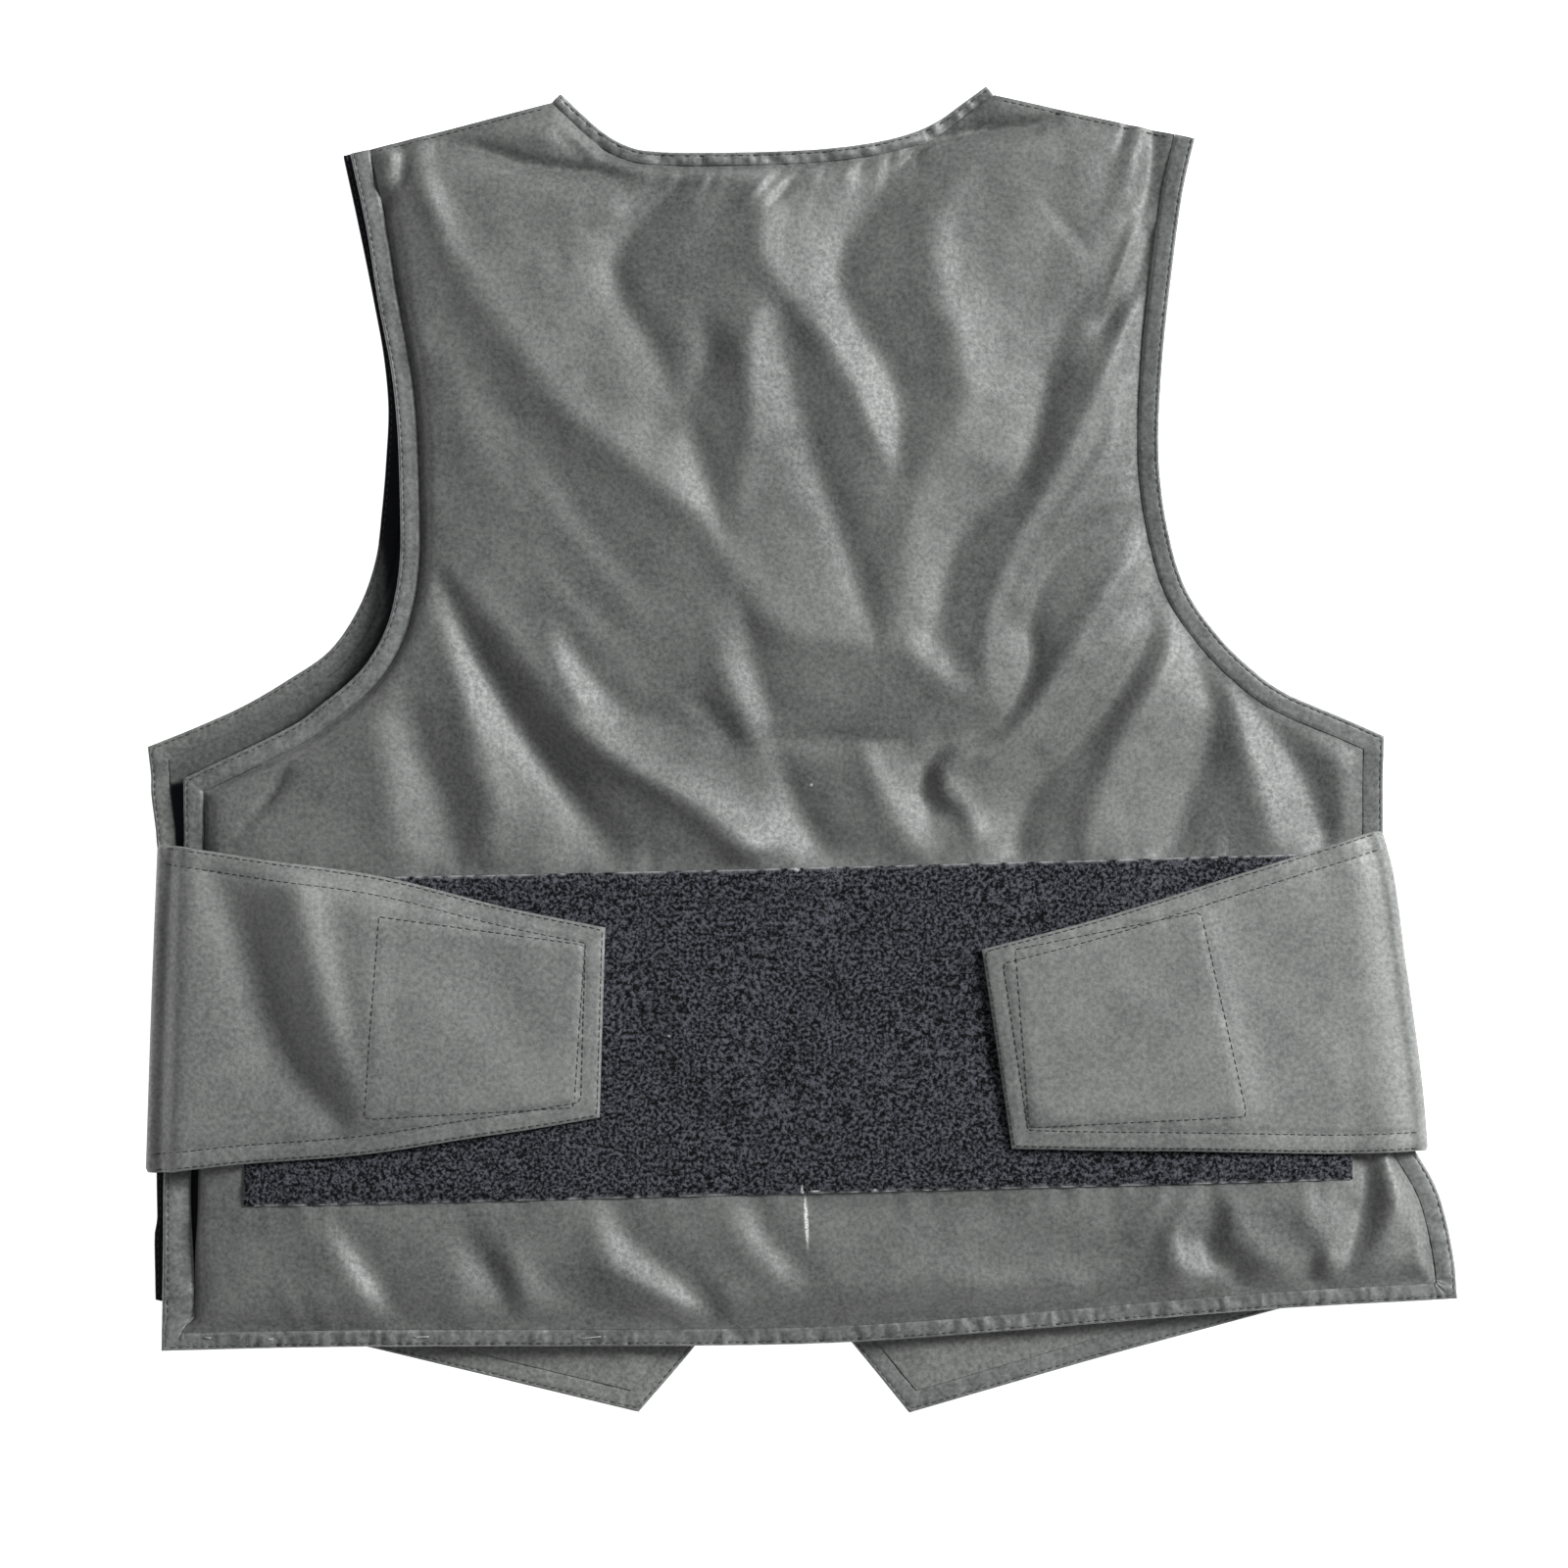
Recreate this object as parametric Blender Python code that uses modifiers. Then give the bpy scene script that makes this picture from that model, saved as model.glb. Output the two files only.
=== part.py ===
"""Stab vest of the waistcoat kind, lying flat on its front with the back panel up.

The padded back panel lies over two padded front panels. They meet along the
shoulder lines, and between them is the hollow for the wearer. From each side
edge of the front a wing folds round the side and lies over the fleecy loop
panel of the back, held by a hook patch. All edges carry a flat stitched strip.

Every size is in millimetres, as worn by the real object, and only the meshes
are written in metres. +Y points to the neck, +Z up, and the floor is at Z = 0.
"Left" and "right" are as seen from above.
"""

import math

import bmesh
import bpy
import numpy as np
from mathutils.bvhtree import BVHTree

MM = 0.001
GAP = 0.3

# Edge strips: width of each, and how thick they are.
SIDE_STRIP = 9.0
HEM_STRIP = 7.7
NECK_STRIP = 5.7
BARE = 0.0
STRIP_THICKNESS = 3.2
STRIP_CROWN = 0.3

# The padded panels.
EDGE_THICKNESS = 2.8
BACK_PADDING = 4.6
BACK_PADDING_REACH = 12.0
BACK_DOME = 7.5
BACK_DOME_REACH = 55.0
FRONT_LIFT = 0.8
FRONT_LIFT_REACH = 14.0
FRONT_EDGE_TOP = 2.8
FRONT_PADDING = 2.6
FRONT_PADDING_REACH = 12.0
LINING_THICKNESS = 1.0
BACK_LINING_GAP = 0.7

# Steps of the grids, counted along each stretch of an outline.
HEM_STEPS = 40
SIDE_STEPS = (4, 6, 2)
ARMHOLE_STEPS = 28
SHOULDER_STEPS = 10
NECK_STEPS = 20
UNDERSIDE_STEP = 4
FRONT_WIDTH_STEPS = 8
FRONT_SIDE_STEPS = (2, 3, 2)
FRONT_ARMHOLE_STEPS = 14
FRONT_CENTRE_STEPS = 14
FRONT_NECK_STEPS = 7

# The closure down the middle of the front, which lies underneath.
ZIP_WIDTH = 12.0
ZIP_BOTTOM = 0.9
ZIP_THICKNESS = 2.4
ZIP_X = -14.15
ZIP_Y_FROM = -224.0
ZIP_Y_TO = 168.0

# Loop panel, wings and hook patches.
LOOP_THICKNESS = 1.6
LOOP_STEPS = (24, 8)
HOOK_THICKNESS = 1.0
HOOK_STEPS = (5, 4)
WING_THICKNESS = 2.6
WING_ROWS = 8
WING_STEPS = 11
WING_TURN_STEPS = 4
WING_ROOT_Z = 2.3
WING_OVER_Z = 10.6
WING_PUFF = 1.8
CLOTH_CLEARANCE = 0.35
PATCH_REACH = 9.0
WING_REACH = 17.0

# Outline of the back panel: x, y and the height of its underside.
BACK_HEM = [
    (-293.9, -274.2, 7.0),
    (-198.5, -271.9, 12.0),
    (-50.6, -271.5, 12.0),
    (23.5, -269.7, 12.0),
    (103.9, -263.9, 12.0),
    (212.4, -254.9, 11.5),
    (300.4, -250.3, 7.0),
]
BACK_SIDE_LEFT = [
    [(-293.9, -274.2, 7.0), (-293.4, -230.0, 5.4), (-292.9, -193.5, 5.2)],
    [(-292.9, -193.5, 5.2), (-288.4, -117.0, 5.2), (-283.8, -41.7, 5.2)],
    [(-283.8, -41.7, 5.2), (-283.8, -11.9, 7.0)],
]
BACK_SIDE_RIGHT = [
    [(300.4, -250.3, 7.0), (299.3, -236.0, 6.0), (295.2, -213.7, 5.2), (291.6, -202.5, 5.2),
     (287.4, -191.3, 5.2), (281.0, -182.5, 5.2)],
    [(281.0, -182.5, 5.2), (278.5, -154.0, 5.2), (274.3, -121.4, 5.2), (269.9, -90.9, 5.2),
     (265.5, -60.0, 5.2), (260.8, -36.0, 5.2)],
    [(260.8, -36.0, 5.2), (264.2, -12.0, 5.6), (264.5, 7.6, 7.0)],
]
BACK_ARMHOLE_LEFT = [
    (-283.8, -11.9, 7.0),
    (-235.8, 11.2, 9.5),
    (-219.0, 23.0, 10.6),
    (-202.0, 37.8, 11.4),
    (-190.4, 57.3, 11.6),
    (-184.8, 82.4, 11.6),
    (-184.1, 105.3, 11.6),
    (-185.9, 139.6, 11.6),
    (-190.0, 173.8, 11.6),
    (-196.2, 205.4, 11.0),
    (-202.0, 239.7, 8.0),
    (-209.5, 274.1, 4.7),
]
BACK_ARMHOLE_RIGHT = [
    (264.5, 7.6, 7.0),
    (223.1, 26.0, 9.5),
    (212.4, 32.4, 10.6),
    (193.1, 49.7, 11.4),
    (175.6, 73.7, 11.6),
    (166.7, 102.1, 11.6),
    (162.6, 134.4, 11.6),
    (163.5, 169.3, 11.6),
    (166.7, 203.8, 11.0),
    (173.4, 254.0, 7.4),
    (179.6, 281.3, 4.7),
]
BACK_SHOULDER_LEFT = [(-209.5, 274.1, 4.7), (-108.4, 299.7, 4.7)]
BACK_SHOULDER_RIGHT = [(80.0, 302.8, 4.7), (179.6, 281.3, 4.7)]
BACK_NECK = [
    (-108.4, 299.7, 4.7),
    (-90.0, 283.6, 6.5),
    (-69.4, 275.7, 8.6),
    (-11.6, 275.5, 9.6),
    (28.2, 278.9, 8.8),
    (56.9, 286.9, 6.8),
    (80.0, 302.8, 4.7),
]

# Outlines of the two front panels: x and y. The stretch of the side between
# the second and the third part is where the wing is sewn on.
FRONT_LEFT = {
    "side": [
        [(-294.6, -250.0), (-295.7, -193.5)],
        [(-295.7, -193.5), (-295.6, -118.0), (-294.9, -41.2)],
        [(-294.9, -41.2), (-300.2, -18.8), (-300.2, 3.1)],
    ],
    "armhole": [
        (-300.2, 3.1), (-257.2, 21.5), (-219.1, 45.7), (-207.6, 60.7), (-197.3, 83.6),
        (-191.7, 130.4), (-191.1, 171.1), (-200.7, 225.8), (-211.0, 273.9),
    ],
    "shoulder": [(-211.0, 273.9), (-108.4, 299.7)],
    "lower": [[(-294.6, -250.0), (-198.5, -272.0), (-75.7, -301.5)],
              [(-75.7, -301.5), (-50.6, -272.0), (-20.5, -233.0)]],
    "lower_steps": (5, 3),
    "centre": [(-20.5, -233.0), (-20.5, 170.0)],
    "neck": [(-20.5, 170.0), (-66.0, 213.0), (-97.0, 262.0), (-108.4, 299.7)],
}
FRONT_RIGHT = {
    "side": [
        [(281.0, -237.0), (279.0, -183.5)],
        [(279.0, -183.5), (272.0, -110.0), (260.5, -35.0)],
        [(260.5, -35.0), (260.0, -12.0), (260.0, 5.0)],
    ],
    "armhole": [
        (260.0, 5.0), (221.0, 22.6), (190.5, 47.0), (172.6, 72.6), (163.4, 101.6),
        (159.3, 134.4), (160.2, 169.3), (163.5, 203.8), (176.8, 281.9),
    ],
    "shoulder": [(80.0, 302.8), (176.8, 281.9)],
    "lower": [[(-7.8, -233.0), (23.5, -270.0), (49.5, -301.8)],
              [(49.5, -301.8), (147.3, -273.5), (211.5, -256.3), (281.0, -237.0)]],
    "lower_steps": (3, 5),
    "centre": [(-7.8, -233.0), (-7.8, 170.0)],
    "neck": [(-7.8, 170.0), (38.0, 214.0), (68.0, 264.0), (80.0, 302.8)],
}

# Loop panel corners, and its top edge in the middle, which dips.
LOOP_BOTTOM = [(-254.9, -207.4), (-18.0, -201.5), (251.1, -194.9)]
LOOP_TOP = [(-254.0, -58.0), (-26.4, -53.1), (248.6, -45.7)]

# Wings: the lines that bound each, from the fold at the side to the free end.
WING_LEFT = {
    "lower": [(-299.3, -192.2), (-254.9, -187.7), (-191.7, -183.2), (-137.5, -174.7), (-92.4, -166.0)],
    "upper": [(-293.9, -42.3), (-246.0, -48.8), (-191.7, -56.4), (-135.3, -70.3), (-89.8, -79.6)],
    "fold": [(-299.3, -192.2), (-296.6, -110.0), (-293.9, -42.3)],
    "end": [(-92.4, -166.0), (-89.8, -79.6)],
    "inward": 1.0,
    "creases": [{"height": -1.8, "width": 12, "line": [(-269, -56), (-240, -128), (-215, -163)]},
                {"height": 3.6, "width": 10, "line": [(-230, -60), (-224, -110), (-204, -162)]},
                {"height": 2.4, "width": 10, "line": [(-282, -90), (-284, -125)]}],
}
WING_RIGHT = {
    "lower": [(286.3, -182.2), (230.0, -184.0), (160.0, -185.5), (95.2, -180.1)],
    "upper": [(265.5, -36.3), (200.0, -55.0), (140.0, -74.0), (81.5, -89.6)],
    "fold": [(286.3, -182.2), (284.0, -154.1), (279.8, -121.4), (275.4, -90.9), (271.0, -58.0),
             (265.5, -36.3)],
    "end": [(95.2, -180.1), (81.5, -89.6)],
    "inward": -1.0,
    "creases": [{"height": -1.8, "width": 15, "line": [(236, -66), (232, -120), (224, -176)]}],
}
HOOK_LEFT = {"bottom": [(-199.4, -166.7), (-103.9, -160.2)], "top": [(-191.7, -74.8), (-99.5, -87.8)]}
HOOK_RIGHT = {"bottom": [(103.9, -166.2), (201.6, -166.2)], "top": [(92.0, -92.5), (181.0, -75.9)]}

# Main ridges and valleys of the back panel: height, and the line each runs
# along. The cloth runs evenly from each one to the next.
FOLDS = [
    {"height": 5.0, "line": [(-150, 208), (-102, 150), (-42, 100), (-8, 56), (48, 46)]},
    {"height": -1.4, "line": [(-150, 172), (-110, 122), (-66, 66)]},
    {"height": 6.2, "line": [(-138, 58), (-103, 12), (-62, -17), (-24, -46)]},
    {"height": -5.2, "line": [(-165, 78), (-138, 25), (-108, -18), (-89, -46)]},
    {"height": -2.8, "line": [(-98, 38), (-58, 13)]},
    {"height": 3.4, "line": [(-157, 30), (-142, -40)]},
    {"height": -2.8, "line": [(-180, 20), (-162, -40)]},
    {"height": 2.2, "line": [(-197, 10), (-187, -40)]},
    {"height": -5.2, "line": [(-57, 262), (-84, 226), (-64, 176), (-43, 122)]},
    {"height": 4.2, "line": [(-21, 200), (-25, 155), (-30, 115)]},
    {"height": -3.6, "line": [(-7, 185), (6, 132), (27, 72)]},
    {"height": 4.0, "line": [(-20, 250), (-13, 213), (19, 170), (38, 130)]},
    {"height": -5.4, "line": [(50, 270), (18, 222), (37, 178), (43, 135)]},
    {"height": 6.4, "line": [(72, 265), (58, 230), (73, 165), (50, 112), (40, 58)]},
    {"height": -5.4, "line": [(131, 212), (110, 165), (98, 124), (66, 78), (64, 45)]},
    {"height": 4.6, "line": [(157, 208), (129, 152), (105, 108), (82, 45)]},
    {"height": -5.0, "line": [(138, 104), (108, 78), (102, 34), (66, 5), (56, -20)]},
    {"height": 4.8, "line": [(150, 85), (119, 40), (90, 0)]},
    {"height": -4.8, "line": [(158, 55), (132, 14), (98, -45)]},
    {"height": 5.0, "line": [(167, 52), (144, 2), (128, -45)]},
    {"height": -4.2, "line": [(186, 25), (170, -45)]},
    {"height": 3.0, "line": [(196, 30), (214, -45)]},
    {"height": -3.4, "line": [(218, 8), (238, -38)]},
    {"height": 1.6, "line": [(241, 4), (250, -30)]},
    {"height": -3.8, "line": [(-12, 5), (46, 4)]},
    {"height": -5.4, "line": [(-8, -8), (12, -50)]},
    {"height": 2.8, "line": [(30, -8), (52, -46)]},
    {"height": 2.4, "line": [(72, -3), (78, -38)]},
    {"height": -3.0, "line": [(-150, 274), (-84, 265)]},
    {"height": -3.8, "line": [(46, 270), (86, 286)]},
    {"height": 2.4, "line": [(-222, -215), (-197, -250)]},
    {"height": -1.8, "line": [(-154, -224), (-127, -256)]},
    {"height": 2.2, "line": [(-80, -218), (-46, -252)]},
    {"height": 2.0, "line": [(-30, -210), (-18, -254)]},
    {"height": 1.8, "line": [(125, -240), (164, -208)]},
    {"height": 2.2, "line": [(175, -210), (180, -245)]},
    {"height": -2.2, "line": [(190, -206), (193, -231)]},
    {"height": -2.2, "line": [(249, -209), (245, -238)]},
]
FOLD_SCALE = 1.2
FOLD_BASE = 2.0
FOLD_ROUNDNESS = 8.0
FOLD_REACH = 50.0
FOLD_POWER = 1.7
# The loop panel is sewn flat, so the folds fade out under it.
FOLDS_END_Y = -45.0
FOLDS_START_Y = -207.0
FOLDS_FADE = 10.0
FOLDS_LEFT_UNDER_LOOP = 0.12
FOLD_EDGE_REACH = 9.0


def smooth_curve(path, steps):
    """Steps + 1 points, evenly spaced along a smooth curve through the path's points."""
    path = np.array(path, dtype=float)
    if len(path) > 2:
        ends = [2 * path[0] - path[1], *path, 2 * path[-1] - path[-2]]
        fine = [path[0]]
        for before, start, end, after in zip(ends, ends[1:], ends[2:], ends[3:]):
            for t in np.linspace(0.0, 1.0, 13)[1:]:
                fine.append(0.5 * (2 * start + (end - before) * t
                                   + (2 * before - 5 * start + 4 * end - after) * t ** 2
                                   + (3 * start - before - 3 * end + after) * t ** 3))
        path = np.array(fine)
    lengths = np.linalg.norm(np.diff(path[:, :2], axis=0), axis=1)
    along = np.concatenate([[0.0], np.cumsum(lengths)])
    wanted = np.linspace(0.0, along[-1], steps + 1)
    return np.stack([np.interp(wanted, along, column) for column in path.T], axis=1)


def distance_to_line(points, line):
    """Distance in plan of every point from a line of straight stretches."""
    points = np.asarray(points, dtype=float)[..., :2]
    nearest = np.full(points.shape[:-1], np.inf)
    for start, end in zip(line, line[1:]):
        start = np.array(start[:2], dtype=float)
        run = np.array(end[:2], dtype=float) - start
        along = np.clip(((points - start) @ run) / max(run @ run, 1e-9), 0.0, 1.0)
        offset = points - start - along[..., None] * run
        nearest = np.minimum(nearest, np.linalg.norm(offset, axis=-1))
    return nearest


def trace(stretches):
    """One side of an outline: its points, and the strip width along each step.

    Each stretch is a path, its number of steps, and the width of its strip.
    """
    points = []
    widths = []
    for path, steps, width in stretches:
        curve = smooth_curve(path, steps)
        points.extend(curve[:-1])
        widths.extend([width] * steps)
    points.append(curve[-1])
    return np.array(points), widths


class Outline:
    """Four sides of a panel, all given from left to right or from bottom to top."""

    def __init__(self, bottom, right, top, left):
        sides = [bottom, right, (top[0][::-1], top[1][::-1]), (left[0][::-1], left[1][::-1])]
        self.counts = [len(widths) for points, widths in sides]
        self.points = np.vstack([points[:-1] for points, widths in sides])
        self.widths = np.concatenate([widths for points, widths in sides])

    def inset(self, extra):
        """The loop moved in by each strip's width plus extra, mitred at the corners."""
        bare = self.widths == BARE
        widths = np.where(bare, 0.0, self.widths + extra)
        ahead = np.roll(self.points, -1, axis=0) - self.points
        run = ahead[:, :2] / np.linalg.norm(ahead[:, :2], axis=1)[:, None]
        normals = np.stack([-run[:, 1], run[:, 0]], axis=1)
        moved = self.points.copy()
        for k in range(len(moved)):
            before, after = normals[k - 1], normals[k]
            if abs(before @ after) > 0.995:
                direction = (before + after) / 2
                shift = direction * (widths[k - 1] + widths[k]) / 2 / (direction @ direction)
            else:
                shift = np.linalg.solve(np.array([before, after]), [widths[k - 1], widths[k]])
            moved[k, :2] += shift
        return self.respace(moved, bare)

    def respace(self, moved, bare):
        """Points of each bare stretch spread evenly again between its moved ends."""
        count = len(moved)
        for first in range(count):
            if bare[first] and not bare[first - 1]:
                steps = 1
                while bare[(first + steps) % count]:
                    steps += 1
                ends = moved[first].copy(), moved[(first + steps) % count].copy()
                for k in range(steps + 1):
                    moved[(first + k) % count] = ends[0] + (ends[1] - ends[0]) * k / steps
        return moved

    def sides(self, loop):
        """A loop cut back into its bottom, right, top and left sides."""
        loop = np.vstack([loop, loop[:1]])
        starts = np.concatenate([[0], np.cumsum(self.counts)])
        bottom, right, top, left = [loop[a:b + 1] for a, b in zip(starts, starts[1:])]
        return bottom, right, top[::-1], left[::-1]


def fill_patch(bottom, right, top, left):
    """A grid of points between four sides: rows from bottom to top."""
    u = np.linspace(0.0, 1.0, len(bottom))[None, :, None]
    v = np.linspace(0.0, 1.0, len(left))[:, None, None]
    rows = (1 - v) * bottom[None] + v * top[None]
    columns = (1 - u) * left[:, None] + u * right[:, None]
    corners = ((1 - u) * (1 - v) * bottom[0] + u * (1 - v) * bottom[-1]
               + (1 - u) * v * top[0] + u * v * top[-1])
    return rows + columns - corners


def rise(distance, reach):
    """0 at an edge, going up to 1 a few reaches away from it, round at the top."""
    return 1.0 - np.exp(-(distance / reach) ** 2)


def folds_at(points):
    """Height of the folds at each point of the back panel: their mean, the nearest counting most."""
    total = np.zeros(points.shape[:-1])
    weights = np.full(points.shape[:-1], FOLD_REACH ** -FOLD_POWER)
    for fold in FOLDS:
        distance = distance_to_line(points, fold["line"])
        weight = (distance ** 2 + FOLD_ROUNDNESS ** 2) ** (-FOLD_POWER / 2)
        total += weight * fold["height"]
        weights += weight
    height = FOLD_BASE + FOLD_SCALE * total / weights
    y = points[..., 1]
    above = 1.0 / (1.0 + np.exp(-(y - FOLDS_END_Y) * 4.0 / FOLDS_FADE))
    below = 1.0 / (1.0 + np.exp((y - FOLDS_START_Y) * 4.0 / FOLDS_FADE))
    return height * np.maximum(FOLDS_LEFT_UNDER_LOOP, above + below)


def make_material(name, colour, roughness, sheen=0.0):
    """A plain cloth finish, with its colour as linear values."""
    material = bpy.data.materials.new(name)
    material.use_nodes = True
    shader = material.node_tree.nodes["Principled BSDF"]
    shader.inputs["Base Color"].default_value = (*colour, 1.0)
    shader.inputs["Roughness"].default_value = roughness
    shader.inputs["Metallic"].default_value = 0.0
    shader.inputs["Sheen Weight"].default_value = sheen
    return material


def add_object(name, bm, material, collection):
    """An object from a mesh that was made in millimetres."""
    bmesh.ops.scale(bm, vec=(MM, MM, MM), verts=bm.verts)
    mesh = bpy.data.meshes.new(name)
    bm.to_mesh(mesh)
    bm.free()
    mesh.materials.append(material)
    mesh.shade_smooth()
    mesh.set_sharp_from_angle(angle=math.radians(50))
    obj = bpy.data.objects.new(name, mesh)
    collection.objects.link(obj)
    return obj


def add_grid(bm, surface):
    """A grid primitive laid onto a surface of points, as rows of its vertices."""
    rows, columns = surface.shape[:2]
    made = bmesh.ops.create_grid(bm, x_segments=columns - 1, y_segments=rows - 1, size=1.0)
    net = [[None] * columns for row in range(rows)]
    for vert in made["verts"]:
        column = round((vert.co.x + 1) / 2 * (columns - 1))
        row = round((vert.co.y + 1) / 2 * (rows - 1))
        vert.co = surface[row, column]
        net[row][column] = vert
    return net


def add_panel(name, upper, lower, step, material, collection):
    """A padded panel: a fine upper grid, walls round its rim, and a coarser underside.

    The underside has a vertex below every vertex of the rim, and inside the
    rim only one for every so many steps of the grid.
    """
    bm = bmesh.new()
    top = add_grid(bm, upper)
    rows, columns = len(top), len(top[0])
    under = {}
    for j in range(rows):
        for i in range(columns):
            on_rim = i in (0, columns - 1) or j in (0, rows - 1)
            if on_rim or (i % step == 0 and j % step == 0):
                under[i, j] = bm.verts.new(lower[j, i])
    rim = ([(i, 0) for i in range(columns)] + [(columns - 1, j) for j in range(1, rows)]
           + [(i, rows - 1) for i in range(columns - 2, -1, -1)] + [(0, j) for j in range(rows - 2, 0, -1)])
    for (i, j), (i2, j2) in zip(rim, rim[1:] + rim[:1]):
        bm.faces.new((top[j][i], under[i, j], under[i2, j2], top[j2][i2]))
    for j in range(0, rows - 1, step):
        for i in range(0, columns - 1, step):
            i2, j2 = i + step, j + step
            cell = ([(i, k) for k in range(j, j2)] + [(k, j2) for k in range(i, i2)]
                    + [(i2, k) for k in range(j2, j, -1)] + [(k, j) for k in range(i2, i, -1)])
            bm.faces.new([under[node] for node in cell if node in under])
    bmesh.ops.recalc_face_normals(bm, faces=bm.faces)
    return add_object(name, bm, material, collection)


def add_sheet(name, surface, thickness, side, material, collection):
    """A cloth of even thickness from a grid of points, through Solidify.

    The side is 1 for a grid that is its underside, -1 for its upper side, and
    0 for its middle.
    """
    bm = bmesh.new()
    add_grid(bm, surface)
    obj = add_object(name, bm, material, collection)
    wall = obj.modifiers.new("wall", "SOLIDIFY")
    wall.thickness = thickness * MM
    wall.offset = side
    return obj


def add_strip(name, outer, inner, material, collection):
    """A flat edge strip between two lines, a little crowned, with closed ends."""
    bm = bmesh.new()
    rings = []
    for edge, seat in zip(outer, inner):
        middle = (edge + seat) / 2
        ring = [seat, edge + (0, 0, 0.4), edge + (0, 0, STRIP_THICKNESS - 0.5),
                middle + (0, 0, STRIP_THICKNESS + STRIP_CROWN), seat + (0, 0, STRIP_THICKNESS - 0.2)]
        rings.append([bm.verts.new(point) for point in ring])
    for ring, following in zip(rings, rings[1:]):
        for k in range(len(ring)):
            bm.faces.new((ring[k - 1], ring[k], following[k], following[k - 1]))
    bm.faces.new(rings[0])
    bm.faces.new(rings[-1])
    bmesh.ops.recalc_face_normals(bm, faces=bm.faces)
    return add_object(name, bm, material, collection)


class Cover:
    """The top of whatever lies under a piece of cloth."""

    def __init__(self, objects):
        depsgraph = bpy.context.evaluated_depsgraph_get()
        self.trees = []
        for obj in objects:
            mesh = obj.evaluated_get(depsgraph).to_mesh()
            corners = [vert.co / MM for vert in mesh.vertices]
            faces = [tuple(face.vertices) for face in mesh.polygons]
            self.trees.append(BVHTree.FromPolygons(corners, faces))

    def height(self, x, y):
        """The highest surface at one place, or 0 beside everything."""
        highest = 0.0
        for tree in self.trees:
            place = tree.ray_cast((x, y, 500.0), (0, 0, -1))[0]
            if place is not None:
                highest = max(highest, place.z)
        return highest

    def clear_height(self, x, y, reach):
        """The highest surface near a place, so that a flat facet there clears it."""
        around = [(0, 0)] + [(size * math.cos(a), size * math.sin(a)) for size in (reach / 2, reach)
                             for a in np.linspace(0, 2 * math.pi, 9)[:-1]]
        return max(self.height(x + dx, y + dy) for dx, dy in around)

    def drape(self, plan, lift, reach):
        """A grid of places given the height of what is under them, plus a lift."""
        surface = np.zeros((*plan.shape[:2], 3))
        for j, row in enumerate(plan):
            for i, place in enumerate(row):
                height = self.clear_height(place[0], place[1], reach)
                surface[j, i] = (place[0], place[1], height + lift)
        return surface


def back_outline():
    """The back panel's outline, with the height of its underside."""
    bottom = trace([(BACK_HEM, HEM_STEPS, HEM_STRIP)])
    left = trace([(path, steps, SIDE_STRIP) for path, steps in zip(BACK_SIDE_LEFT, SIDE_STEPS)]
                 + [(BACK_ARMHOLE_LEFT, ARMHOLE_STEPS, SIDE_STRIP)])
    right = trace([(path, steps, SIDE_STRIP) for path, steps in zip(BACK_SIDE_RIGHT, SIDE_STEPS)]
                  + [(BACK_ARMHOLE_RIGHT, ARMHOLE_STEPS, SIDE_STRIP)])
    top = trace([(BACK_SHOULDER_LEFT, SHOULDER_STEPS, BARE), (BACK_NECK, NECK_STEPS, NECK_STRIP),
                 (BACK_SHOULDER_RIGHT, SHOULDER_STEPS, BARE)])
    return Outline(bottom, right, top, left)


def build_back(materials, collection):
    """Back panel, its lining, and the strips round its edges."""
    outline = back_outline()
    rim = outline.inset(GAP)
    underside = fill_patch(*outline.sides(rim))
    edge = distance_to_line(underside, [*rim, rim[0]])
    underside[..., 2] += BACK_DOME * (1.0 - np.exp(-edge / BACK_DOME_REACH))
    upper = underside.copy()
    upper[..., 2] += EDGE_THICKNESS + BACK_PADDING * rise(edge, BACK_PADDING_REACH)
    upper[..., 2] += folds_at(upper) * rise(edge, FOLD_EDGE_REACH)
    panel = add_panel("back_panel", upper, underside, UNDERSIDE_STEP, materials["cloth"], collection)

    inside = underside[UNDERSIDE_STEP:-UNDERSIDE_STEP:UNDERSIDE_STEP,
                       UNDERSIDE_STEP:-UNDERSIDE_STEP:UNDERSIDE_STEP].copy()
    inside[..., 2] -= BACK_LINING_GAP
    add_sheet("back_lining", inside, LINING_THICKNESS, -1, materials["lining"], collection)

    outer = outline.sides(outline.points)
    inner = outline.sides(outline.inset(0.0))
    edges = []
    necks = []
    for bottom, right, top, left in (outer, inner):
        edges.append(np.vstack([left[::-1], bottom[1:], right[1:]]))
        necks.append(top[SHOULDER_STEPS:SHOULDER_STEPS + NECK_STEPS + 1])
    binding = add_strip("back_edge_binding", *edges, materials["binding"], collection)
    add_strip("neck_binding", *necks, materials["binding"], collection)
    return panel, binding


def with_lift(path):
    """A plan path raised to the height of the front panels' edges."""
    return [(x, y, FRONT_LIFT) for x, y in path]


def front_outline(shape, side_name):
    """A front panel's outline. The closure edge faces the middle of the front."""
    bottom = trace([(with_lift(path), steps, HEM_STRIP)
                    for path, steps in zip(shape["lower"], shape["lower_steps"])])
    side = trace([(with_lift(path), steps, SIDE_STRIP) for path, steps in zip(shape["side"], FRONT_SIDE_STEPS)]
                 + [(with_lift(shape["armhole"]), FRONT_ARMHOLE_STEPS, SIDE_STRIP)])
    middle = trace([(with_lift(shape["centre"]), FRONT_CENTRE_STEPS, BARE),
                    (with_lift(shape["neck"]), FRONT_NECK_STEPS, NECK_STRIP)])
    top = trace([(with_lift(shape["shoulder"]), FRONT_WIDTH_STEPS, BARE)])
    if side_name == "left":
        return Outline(bottom, middle, top, side)
    return Outline(bottom, side, top, middle)


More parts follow.
